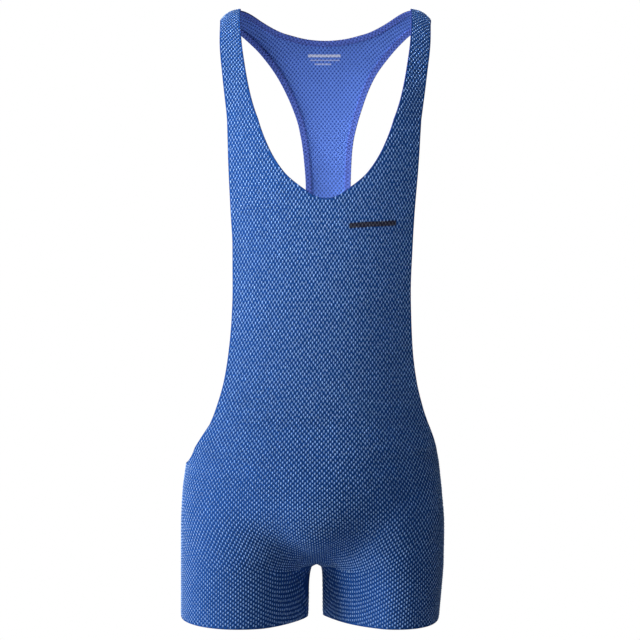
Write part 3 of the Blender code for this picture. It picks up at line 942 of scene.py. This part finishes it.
def add_socket(tree, name, kind="NodeSocketFloat", value=None, way="INPUT"):
    """A named input or output of a node tree."""
    added = tree.interface.new_socket(name, in_out=way, socket_type=kind)
    if value is not None:
        added.default_value = value


def new_work(name, inputs):
    """An empty Geometry Nodes tree with named inputs and one result."""
    tree = bpy.data.node_groups.new(name, "GeometryNodeTree")
    tree.is_modifier = True
    add_socket(tree, "Start", "NodeSocketGeometry")
    for socket, (kind, value) in inputs.items():
        add_socket(tree, socket, kind, value)
    add_socket(tree, "Result", "NodeSocketGeometry", way="OUTPUT")
    return tree


def named_vector(w, name):
    """The vector that each point carries under a name."""
    named = w.add("GeometryNodeInputNamedAttribute", data_type="FLOAT_VECTOR")
    named.inputs["Name"].default_value = name
    return named.outputs["Attribute"]


def random_vector(w, least, most, seed):
    drawn = w.add("FunctionNodeRandomValue", data_type="FLOAT_VECTOR")
    drawn.inputs["Min"].default_value = least
    drawn.inputs["Max"].default_value = most
    w.feed(drawn.inputs["Seed"], seed)
    return drawn.outputs["Value"]


def finished(w, shape, finish):
    """The end of a tree: its instances made real, and their material."""
    real = w.add("GeometryNodeRealizeInstances")
    w.feed(real.inputs["Geometry"], shape)
    painted = w.add("GeometryNodeSetMaterial")
    w.feed(painted.inputs["Geometry"], real.outputs["Geometry"])
    w.feed(painted.inputs["Material"], finish)
    w.feed(w.add("NodeGroupOutput").inputs["Result"], painted.outputs["Geometry"])


def rib_work():
    """Raised ribs: a small pointed lens on each point, laid along the knit."""
    tree = new_work(
        "raised_ribs",
        {
            "Length": ("NodeSocketFloat", RIB_LENGTH),
            "Width": ("NodeSocketFloat", RIB_WIDTH),
            "Height": ("NodeSocketFloat", RIB_HEIGHT),
            "Sunk": ("NodeSocketFloat", RIB_SUNK),
            "Seed": ("NodeSocketInt", RIB_SEED),
            "Finish": ("NodeSocketMaterial", None),
        },
    )
    w = Wiring(tree)
    given = w.add("NodeGroupInput").outputs
    ball = w.add("GeometryNodeMeshUVSphere")
    ball.inputs["Segments"].default_value = RIB_SIDES
    ball.inputs["Rings"].default_value = RIB_RINGS
    ball.inputs["Radius"].default_value = 1.0
    shape = w.add("ShaderNodeCombineXYZ")
    w.feed(shape.inputs[0], w.math("MULTIPLY", given["Length"], 0.5))
    w.feed(shape.inputs[1], w.math("MULTIPLY", given["Width"], 0.5))
    w.feed(shape.inputs[2], given["Height"])
    low = w.add("ShaderNodeCombineXYZ")
    w.feed(low.inputs[2], w.math("MULTIPLY", given["Sunk"], -1.0))
    shaped = w.add("GeometryNodeTransform")
    w.feed(shaped.inputs["Geometry"], ball.outputs["Mesh"])
    w.feed(shaped.inputs["Translation"], low.outputs[0])
    shaped.inputs["Rotation"].default_value = (0, 0, math.pi / 2)
    w.feed(shaped.inputs["Scale"], shape.outputs[0])
    kept = w.add("GeometryNodeStoreNamedAttribute", data_type="FLOAT_VECTOR", domain="POINT")
    w.feed(kept.inputs["Geometry"], shaped.outputs["Geometry"])
    kept.inputs["Name"].default_value = "from_middle"
    w.feed(kept.inputs["Value"], w.add("GeometryNodeInputPosition").outputs[0])
    turn = None
    for axis, pivot, direction in (("Z", "AUTO", "outwards"), ("Y", "Z", "up_the_knit")):
        align = w.add("FunctionNodeAlignRotationToVector", axis=axis, pivot_axis=pivot)
        w.feed(align.inputs["Vector"], named_vector(w, direction))
        if turn:
            w.feed(align.inputs["Rotation"], turn)
        turn = align.outputs["Rotation"]
    least_tilt = tuple(-angle for angle in RIB_TILT)
    uneven = random_vector(w, RIB_LEAST, RIB_MOST, given["Seed"])
    tilt = random_vector(w, least_tilt, RIB_TILT, w.math("ADD", given["Seed"], 1.0))
    size = w.add("ShaderNodeVectorMath", operation="MULTIPLY")
    w.feed(size.inputs[0], uneven)
    w.feed(size.inputs[1], named_vector(w, "stretch"))
    tilted = w.add("FunctionNodeRotateRotation", rotation_space="LOCAL")
    w.feed(tilted.inputs["Rotation"], turn)
    w.feed(tilted.inputs["Rotate By"], tilt)
    placed = w.add("GeometryNodeInstanceOnPoints")
    w.feed(placed.inputs["Points"], given["Start"])
    w.feed(placed.inputs["Instance"], kept.outputs["Geometry"])
    w.feed(placed.inputs["Rotation"], tilted.outputs["Rotation"])
    w.feed(placed.inputs["Scale"], size.outputs[0])
    finished(w, placed.outputs["Instances"], given["Finish"])
    return tree


def thread_work():
    """A zigzag thread along a line of points, swinging across it from stitch to stitch."""
    tree = new_work(
        "zigzag_thread",
        {
            "Step": ("NodeSocketFloat", STITCH_STEP),
            "Swing": ("NodeSocketFloat", STITCH_SWING),
            "Thread Radius": ("NodeSocketFloat", THREAD_RADIUS),
            "Finish": ("NodeSocketMaterial", None),
        },
    )
    w = Wiring(tree)
    given = w.add("NodeGroupInput").outputs
    line = w.add("GeometryNodeMeshToCurve")
    w.feed(line.inputs["Mesh"], given["Start"])
    stitches = w.add("GeometryNodeResampleCurve", mode="LENGTH")
    w.feed(stitches.inputs["Curve"], line.outputs["Curve"])
    w.feed(stitches.inputs["Length"], given["Step"])
    parity = w.math("MODULO", w.add("GeometryNodeInputIndex").outputs[0], 2.0)
    swing = w.math("MULTIPLY", w.math("SUBTRACT", parity, 0.5), given["Swing"])
    sway = w.add("ShaderNodeVectorMath", operation="SCALE")
    w.feed(sway.inputs[0], named_vector(w, "across_the_line"))
    w.feed(sway.inputs["Scale"], swing)
    moved = w.add("GeometryNodeSetPosition")
    w.feed(moved.inputs["Geometry"], stitches.outputs["Curve"])
    w.feed(moved.inputs["Offset"], sway.outputs[0])
    ring = w.add("GeometryNodeCurvePrimitiveCircle", mode="RADIUS")
    ring.inputs["Resolution"].default_value = THREAD_SIDES
    w.feed(ring.inputs["Radius"], given["Thread Radius"])
    thread = w.add("GeometryNodeCurveToMesh")
    w.feed(thread.inputs["Curve"], moved.outputs["Geometry"])
    w.feed(thread.inputs["Profile Curve"], ring.outputs["Curve"])
    finished(w, thread.outputs["Mesh"], given["Finish"])
    return tree


def worked(start, tree, values):
    """The plain object that a tree makes from a start, which goes. Values are given by input name."""
    work = start.modifiers.new("work", "NODES")
    work.node_group = tree
    for item in tree.interface.items_tree:
        if item.item_type == "SOCKET" and item.in_out == "INPUT" and item.name in values:
            work[item.identifier] = values[item.name]
    graph = bpy.context.evaluated_depsgraph_get()
    mesh = bpy.data.meshes.new_from_object(start.evaluated_get(graph), depsgraph=graph)
    start.modifiers.remove(work)
    name, bare = start.name, start.data
    bpy.data.objects.remove(start)
    bpy.data.meshes.remove(bare)
    mesh.name = name
    mesh.shade_smooth()
    return in_scene(name, mesh)


def make_ribs(name, cloth, face, tree, material):
    """A panel's raised ribs. Each takes its colour from its own place in the flat knit."""
    places, outs, ups, stretch, spots = rib_places(cloth, face)
    flat = np.concatenate([spots, np.zeros((len(spots), 1))], 1)
    directions = {"outwards": outs, "up_the_knit": ups, "stretch": stretch, "flat_place": flat}
    start = marked_points(name, places, directions)
    made = worked(start, tree, {"Finish": material})
    mesh = made.data
    found = {}
    for attribute in ("flat_place", "from_middle"):
        values = np.empty(len(mesh.vertices) * 3, np.float32)
        mesh.attributes[attribute].data.foreach_get("vector", values)
        found[attribute] = values.reshape(-1, 3)[:, :2]
    for attribute in ("from_middle", *directions):
        if attribute in mesh.attributes:
            mesh.attributes.remove(mesh.attributes[attribute])
    flat = found["flat_place"] + RIB_GRAIN * found["from_middle"]
    for layer in list(mesh.uv_layers):
        mesh.uv_layers.remove(layer)
    lay_flat(mesh, flat)
    return made


# ---------------------------------------------------------------- the finishes


RIB_RANGE = (0.05, 0.8)
HOLE_RANGE = (0.1, 0.9)
DYE_SCALE = 35.0
WANDER_SCALE = 160.0
THREAD_SCALE = 1200.0
THREAD_COLOURS = ((0.075, 0.125, 0.44), (0.15, 0.24, 0.70))
MARK_SOFTNESS = 0.6 * MM


class Wiring:
    """Short ways to add and join the nodes of one tree."""

    def __init__(self, tree):
        self.tree = tree

    def add(self, kind, **settings):
        node = self.tree.nodes.new(kind)
        for name, value in settings.items():
            setattr(node, name, value)
        return node

    def feed(self, socket, value):
        if isinstance(value, bpy.types.NodeSocket):
            self.tree.links.new(value, socket)
        else:
            socket.default_value = value

    def math(self, operation, *values, clamp=False):
        node = self.add("ShaderNodeMath", operation=operation, use_clamp=clamp)
        for socket, value in zip(node.inputs, values):
            self.feed(socket, value)
        return node.outputs[0]

    def noise(self, place, scale, detail):
        node = self.add("ShaderNodeTexNoise")
        self.feed(node.inputs["Vector"], place)
        self.feed(node.inputs["Scale"], scale)
        node.inputs["Detail"].default_value = detail
        return node

    def step(self, value, low, high):
        """0 below low, 1 above high, and a soft slope between them."""
        node = self.add("ShaderNodeMapRange", interpolation_type="SMOOTHSTEP")
        self.feed(node.inputs["Value"], value)
        node.inputs["From Min"].default_value = low
        node.inputs["From Max"].default_value = high
        return node.outputs["Result"]

    def mix(self, share, a, b, blend="MIX"):
        node = self.add("ShaderNodeMix", data_type="RGBA", blend_type=blend)
        self.feed(node.inputs["Factor"], share)
        self.feed(node.inputs[6], a)
        self.feed(node.inputs[7], b)
        return node.outputs[2]


def make_knit_group():
    """The knit's pattern: where its bright ribs and its dark holes lie, and how high it stands."""
    tree = bpy.data.node_groups.new("raised_knit", "ShaderNodeTree")
    for name in ("Across", "Along"):
        add_socket(tree, name)
    for name, value in (("Step Across", KNIT_ACROSS), ("Step Along", KNIT_ALONG), ("Sharpness", 2.0)):
        add_socket(tree, name, value=value)
    for name in ("Rib", "Hole", "Height"):
        add_socket(tree, name, way="OUTPUT")
    w = Wiring(tree)
    given = w.add("NodeGroupInput").outputs
    turned = [
        w.math("COSINE", w.math("MULTIPLY", w.math("DIVIDE", given[a], given[b]), 2 * math.pi))
        for a, b in (("Across", "Step Across"), ("Along", "Step Along"))
    ]
    narrow = w.math("POWER", w.math("ABSOLUTE", turned[0]), given["Sharpness"])
    narrow = w.math("MULTIPLY", narrow, w.math("SIGN", turned[0]))
    ribs = w.math("MULTIPLY", w.math("MULTIPLY", narrow, turned[1]), -1.0)
    holes = w.math("MULTIPLY", turned[0], turned[1])
    made = w.add("NodeGroupOutput").inputs
    rib, hole = w.step(ribs, *RIB_RANGE), w.step(holes, *HOLE_RANGE)
    w.feed(made["Rib"], rib)
    w.feed(made["Hole"], hole)
    w.feed(made["Height"], w.math("ADD", w.math("MULTIPLY", w.math("SUBTRACT", rib, hole), 0.5), 0.5))
    return tree


def make_uneven_group():
    """Slow unevenness of dye and yarn over the cloth, about 1, and a fine wander of the knit."""
    tree = bpy.data.node_groups.new("uneven_yarn", "ShaderNodeTree")
    add_socket(tree, "Place", "NodeSocketVector")
    for name, value in (("Amount", 0.1), ("Speckle", 0.1), ("Speckle Scale", 900.0), ("Wander", MM)):
        add_socket(tree, name, value=value)
    for name in ("Shade", "Fibre", "Wander Across", "Wander Along"):
        add_socket(tree, name, way="OUTPUT")
    w = Wiring(tree)
    given = w.add("NodeGroupInput").outputs
    made = w.add("NodeGroupOutput").inputs
    for name, scale, amount in (("Shade", DYE_SCALE, "Amount"), ("Fibre", given["Speckle Scale"], "Speckle")):
        noise = w.noise(given["Place"], scale, 2.0)
        swing = w.math("MULTIPLY", w.math("SUBTRACT", noise.outputs["Fac"], 0.5), given[amount])
        w.feed(made[name], w.math("ADD", w.math("MULTIPLY", swing, 2.0), 1.0))
    noise = w.noise(given["Place"], WANDER_SCALE, 1.0)
    parts = w.add("ShaderNodeSeparateColor")
    w.feed(parts.inputs[0], noise.outputs["Color"])
    for name, part in (("Wander Across", 0), ("Wander Along", 1)):
        off = w.math("SUBTRACT", parts.outputs[part], 0.5)
        w.feed(made[name], w.math("MULTIPLY", off, given["Wander"]))
    return tree


def box_mask(w, across, along_it, centre, half, tilt):
    """1 inside a box of the flat knit and 0 outside it. Its right end rises by the tilt."""
    sides = []
    along_it = w.math("MULTIPLY_ADD", w.math("SUBTRACT", across, centre[0]), -tilt, along_it)
    for value, middle, reach in zip((across, along_it), centre, half):
        off = w.math("ABSOLUTE", w.math("SUBTRACT", value, middle))
        sides.append(w.step(off, reach + MARK_SOFTNESS, reach - MARK_SOFTNESS))
    return w.math("MULTIPLY", *sides)


def make_knit(name, groups, finish, marks=()):
    """A knitted finish on the flat knit's own map. finish names its colours and its relief."""
    knit, uneven = groups
    material = bpy.data.materials.new(name)
    material.use_nodes = True
    tree = material.node_tree
    w = Wiring(tree)
    shader = tree.nodes["Principled BSDF"]
    shader.inputs["Specular IOR Level"].default_value = finish["gloss"]
    shader.inputs["Roughness"].default_value = finish["roughness"]
    place = w.add("ShaderNodeUVMap", uv_map="flat_knit").outputs["UV"]
    yarn = w.add("ShaderNodeGroup", node_tree=uneven)
    w.feed(yarn.inputs["Place"], place)
    yarn.inputs["Amount"].default_value = finish["unevenness"]
    yarn.inputs["Wander"].default_value = finish["wander"]
    yarn.inputs["Speckle"].default_value, yarn.inputs["Speckle Scale"].default_value = finish["speckle"]
    parts = w.add("ShaderNodeSeparateXYZ")
    w.feed(parts.inputs[0], place)
    across, along_it = parts.outputs[0], parts.outputs[1]
    loops = w.add("ShaderNodeGroup", node_tree=knit)
    w.feed(loops.inputs["Across"], w.math("ADD", across, yarn.outputs["Wander Across"]))
    w.feed(loops.inputs["Along"], w.math("ADD", along_it, yarn.outputs["Wander Along"]))
    loops.inputs["Step Across"].default_value = finish["step_across"]
    loops.inputs["Step Along"].default_value = finish["step_along"]
    loops.inputs["Sharpness"].default_value = finish["sharpness"]
    colour = w.mix(loops.outputs["Rib"], (*finish["ground"], 1), (*finish["rib"], 1))
    colour = w.mix(loops.outputs["Hole"], colour, (*finish["hole"], 1))
    for mark in marks:
        inside = box_mask(w, across, along_it, mark["centre"], mark["half"], mark["tilt"])
        inked = w.mix(loops.outputs["Hole"], (*mark["ink"], 1), (*mark["ink_in_hole"], 1))
        colour = w.mix(w.math("MULTIPLY", inside, mark["cover"]), colour, inked)
    shade = w.math("MULTIPLY", yarn.outputs["Shade"], yarn.outputs["Fibre"])
    grey = w.add("ShaderNodeCombineColor")
    for socket in grey.inputs:
        w.feed(socket, shade)
    w.feed(shader.inputs["Base Color"], w.mix(1.0, colour, grey.outputs[0], "MULTIPLY"))
    bump = w.add("ShaderNodeBump")
    bump.inputs["Strength"].default_value = 1.0
    bump.inputs["Distance"].default_value = finish["relief"]
    w.feed(bump.inputs["Height"], loops.outputs["Height"])
    w.feed(shader.inputs["Normal"], bump.outputs["Normal"])
    return material


OUTSIDE = {
    "ground": (0.015, 0.083, 0.335),
    "rib": (0.018, 0.096, 0.370),
    "hole": (0.004, 0.032, 0.160),
    "step_across": KNIT_ACROSS,
    "step_along": KNIT_ALONG,
    "sharpness": 2.0,
    "relief": 0.35 * MM,
    "roughness": 0.8,
    "gloss": 0.1,
    "unevenness": 0.12,
    "speckle": (0.12, 900.0),
    "wander": 0.4 * MM,
}
# The raised ribs' yarn: a pale whitish blue, far lighter than the ground between the ribs. Its whiteness is
# partly painted highlight for the ribs' glints, beside their gloss, and its strong speckle from rib to rib is
# painted glints too.
RIB_YARN_AND_HIGHLIGHT = {
    **OUTSIDE,
    "ground": (0.260, 0.480, 0.920),
    "rib": (0.360, 0.590, 0.990),
    "hole": (0.170, 0.350, 0.790),
    "step_across": 1.0 * MM,
    "step_along": 2.2 * MM,
    "relief": 0.08 * MM,
    "roughness": 0.33,
    "gloss": 1.0,
    "speckle": (0.36, 220.0),
    "wander": 0.1 * MM,
}
INSIDE = {
    **OUTSIDE,
    "ground": (0.110, 0.230, 0.770),
    "rib": (0.150, 0.300, 0.880),
    "hole": (0.013, 0.052, 0.330),
    "sharpness": 1.0,
    "relief": 0.25 * MM,
    "roughness": 0.75,
    "gloss": 0.3,
    "wander": 0.8 * MM,
}
TURNED = {
    **INSIDE,
    "ground": (0.105, 0.175, 0.660),
    "rib": (0.140, 0.235, 0.780),
    "hole": (0.030, 0.065, 0.340),
}
# The rim of the fold along the free edges: the turned cloth painted much darker, as painted shade for the
# thin shadow line along those edges.
FOLD_PAINTED_SHADE = {
    **TURNED,
    "ground": (0.040, 0.045, 0.230),
    "rib": (0.055, 0.062, 0.300),
    "hole": (0.020, 0.024, 0.130),
}


# Plain printed bars
DARK_INK = {"ink": (0.030, 0.026, 0.036), "ink_in_hole": (0.014, 0.014, 0.028)}
PALE_INK = {"ink": (0.74, 0.78, 0.95), "ink_in_hole": (0.50, 0.58, 0.85)}
CHEST_BAR_NEAR = (54, -95, -276)
NAPE_BARS_NEAR = (-1, 90, -42)
NAPE_BARS = ((0, 8.3, 22, 2.0, 0.9), (1, 1.8, 20, 0.9, 0.5), (-2, -3.9, 11, 1.1, 0.6))


def bar(place, shift, rise, half_length, half_height, cover, ink, tilt=0.0):
    """A printed bar beside a place in the flat knit. Its sizes are in millimetres."""
    centre = place[0] + shift * MM, place[1] + rise * MM
    half = half_length * MM, half_height * MM
    return {"centre": centre, "half": half, "cover": cover, "tilt": tilt, **ink}


def paint_plain(name, colour, roughness):
    made = bpy.data.materials.new(name)
    made.use_nodes = True
    shader = made.node_tree.nodes["Principled BSDF"]
    shader.inputs["Base Color"].default_value = (*colour, 1.0)
    shader.inputs["Roughness"].default_value = roughness
    return made


def make_thread_finish():
    """Matt sewing thread, a little lighter than the turned hems, with a fine twist along it."""
    made = paint_plain("blue_sewing_thread", THREAD_COLOURS[0], 0.7)
    w = Wiring(made.node_tree)
    shader = made.node_tree.nodes["Principled BSDF"]
    noise = w.noise(w.add("ShaderNodeTexCoord").outputs["Object"], THREAD_SCALE, 2.0)
    dark, light = ((*colour, 1) for colour in THREAD_COLOURS)
    w.feed(shader.inputs["Base Color"], w.mix(noise.outputs["Fac"], dark, light))
    return made


# ---------------------------------------------------------------- the setting

CAMERA_AT = (-0.0071, -1.70, -0.3916)
LENS = 75.3
SENSOR = 36.0
FLOOR = -1.30
FLOOR_HALF = 2.0
FIGURE_MIDDLE = (0, 0, -0.38)
KEY_AT = (-2.09, -0.56, 0.00)
KEY_SIZE = (0.9, 1.2)
KEY_POWER = 57.0
FILL_AT = (-0.17, -0.85, 1.55)
FILL_SIZE = (0.9, 1.2)
FILL_POWER = 20.0
BEAM_AT = (-0.60, -1.50, 0.20)
BEAM_AIM = (-0.06, -0.1, -0.2)
BEAM_SIZE = (0.3, 0.3)
BEAM_POWER = 0.24
BEAM_SPREAD = math.radians(28)
ROOM_LIGHT = 0.04


def add_light(name, at, aim, size, power, spread=math.pi):
    lamp = bpy.data.lights.new(name, "AREA")
    lamp.shape = "RECTANGLE"
    lamp.size, lamp.size_y = size
    lamp.energy = power
    lamp.spread = spread
    made = in_scene(name, lamp)
    made.location = at
    made.rotation_euler = (Vector(aim) - Vector(at)).to_track_quat("-Z", "Y").to_euler()


def make_room():
    scene = bpy.context.scene
    scene.view_settings.view_transform = "Standard"
    lens = bpy.data.cameras.new("view_from_the_front")
    lens.lens = LENS
    lens.sensor_width = SENSOR
    camera = in_scene("view_from_the_front", lens)
    camera.location = CAMERA_AT
    camera.rotation_euler = (math.pi / 2, 0, 0)
    scene.camera = camera
    add_light("key_from_the_left", KEY_AT, FIGURE_MIDDLE, KEY_SIZE, KEY_POWER)
    add_light("fill_from_above", FILL_AT, FIGURE_MIDDLE, FILL_SIZE, FILL_POWER)
    add_light("beam_on_the_chest", BEAM_AT, BEAM_AIM, BEAM_SIZE, BEAM_POWER, BEAM_SPREAD)
    world = bpy.data.worlds.new("white_room")
    world.use_nodes = True
    scene.world = world
    tree = world.node_tree
    seen = tree.nodes["Background"]
    seen.inputs["Color"].default_value = (1, 1, 1, 1)
    dim = tree.nodes.new("ShaderNodeBackground")
    dim.inputs["Color"].default_value = (0.93, 0.95, 1, 1)
    dim.inputs["Strength"].default_value = ROOM_LIGHT
    path = tree.nodes.new("ShaderNodeLightPath")
    either = tree.nodes.new("ShaderNodeMixShader")
    tree.links.new(path.outputs["Is Camera Ray"], either.inputs[0])
    tree.links.new(dim.outputs[0], either.inputs[1])
    tree.links.new(seen.outputs[0], either.inputs[2])
    tree.links.new(either.outputs[0], tree.nodes["World Output"].inputs["Surface"])
    corners = np.array([(x, y, 0) for x, y in ((-1, -1), (1, -1), (1, 1), (-1, 1))]) * FLOOR_HALF
    corners[:, 2] = FLOOR
    pale = paint_plain("pale_floor", (0.8, 0.8, 0.8), 0.6)
    floor = make_piece("floor", corners, [[0, 1, 2, 3]], corners[:, :2], [0], [pale])


# ---------------------------------------------------------------- putting it together


def flat_place(cloth, face, side, at):
    """The place in the flat knit of the panel's point nearest to a given one."""
    used = np.unique(cloth.grids[face, side])
    gaps = np.linalg.norm(cloth.points[used] - np.array(at) * MM, axis=1)
    return [float(x) for x in cloth.flat[face][used[gaps.argmin()]]]


def outer_area(piece):
    """The area of a panel's outer side."""
    mesh = piece.data
    areas = np.empty(len(mesh.polygons))
    mesh.polygons.foreach_get("area", areas)
    kinds = np.empty(len(mesh.polygons), np.int32)
    mesh.polygons.foreach_get("material_index", kinds)
    return float(areas[kinds == 0].sum())


def main():
    make_room()
    cloth = Cloth()
    groups = make_knit_group(), make_uneven_group()
    chest = flat_place(cloth, FRONT, RIGHT, CHEST_BAR_NEAR)
    chest_bar = bar(chest, 0, 0, 34, 3.1, 0.95, DARK_INK, tilt=0.06)
    nape = flat_place(cloth, BACK, LEFT, NAPE_BARS_NEAR)
    pale_bars = [bar(nape, *sizes, PALE_INK) for sizes in NAPE_BARS]
    outside = make_knit("blue_knit_outside", groups, OUTSIDE)
    front_outside = make_knit("blue_knit_chest", groups, OUTSIDE, [chest_bar])
    back_ribs = make_knit("blue_knit_ribs_and_highlight", groups, RIB_YARN_AND_HIGHLIGHT)
    front_ribs = make_knit("blue_knit_chest_ribs_and_highlight", groups, RIB_YARN_AND_HIGHLIGHT, [chest_bar])
    inside = make_knit("blue_knit_inside", groups, INSIDE)
    back_inside = make_knit("blue_knit_nape", groups, INSIDE, pale_bars)
    turned = make_knit("turned_blue_knit_hems", groups, TURNED)
    # The fold rims at the free edges take the painted shade.
    folded = make_knit("blue_knit_fold_painted_shade", groups, FOLD_PAINTED_SHADE)
    front = make_panel("front_panel_cloth", cloth, FRONT, [front_outside, inside, folded])
    back = make_panel("back_panel_cloth", cloth, BACK, [outside, back_inside, folded])
    wall = inner_wall(cloth)
    hems = {"neck_hem": neck_loop(cloth)}
    for side in (LEFT, RIGHT):
        hems["armhole_hem_" + side_name(side)] = armhole_loop(cloth, side)
        hems["leg_hem_" + side_name(side)] = leg_loop(cloth, side)
    thread = make_thread_finish()
    zigzag, ribbing = thread_work(), rib_work()
    for node, loop in hems.items():
        band, line, across = make_hem(node + "_band", cloth, wall, loop, turned)
        start = marked_points(node + "_stitches", line, {"across_the_line": across}, closed=True)
        stitches = worked(start, zigzag, {"Finish": thread})
        for piece in (band, stitches):
            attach(piece, "root")
        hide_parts(node)
    for panel, node, flat, face, finish in (
        (front, "front_panel", (0.54, 0.90), FRONT, front_ribs),
        (back, "back_panel", (0.57, 0.90), BACK, back_ribs),
    ):
        ribs = make_ribs(node + "_ribs", cloth, face, ribbing, finish)
        for piece in (panel, ribs):
            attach(piece, "root")
        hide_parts(node)
        outer_area(panel)


main()
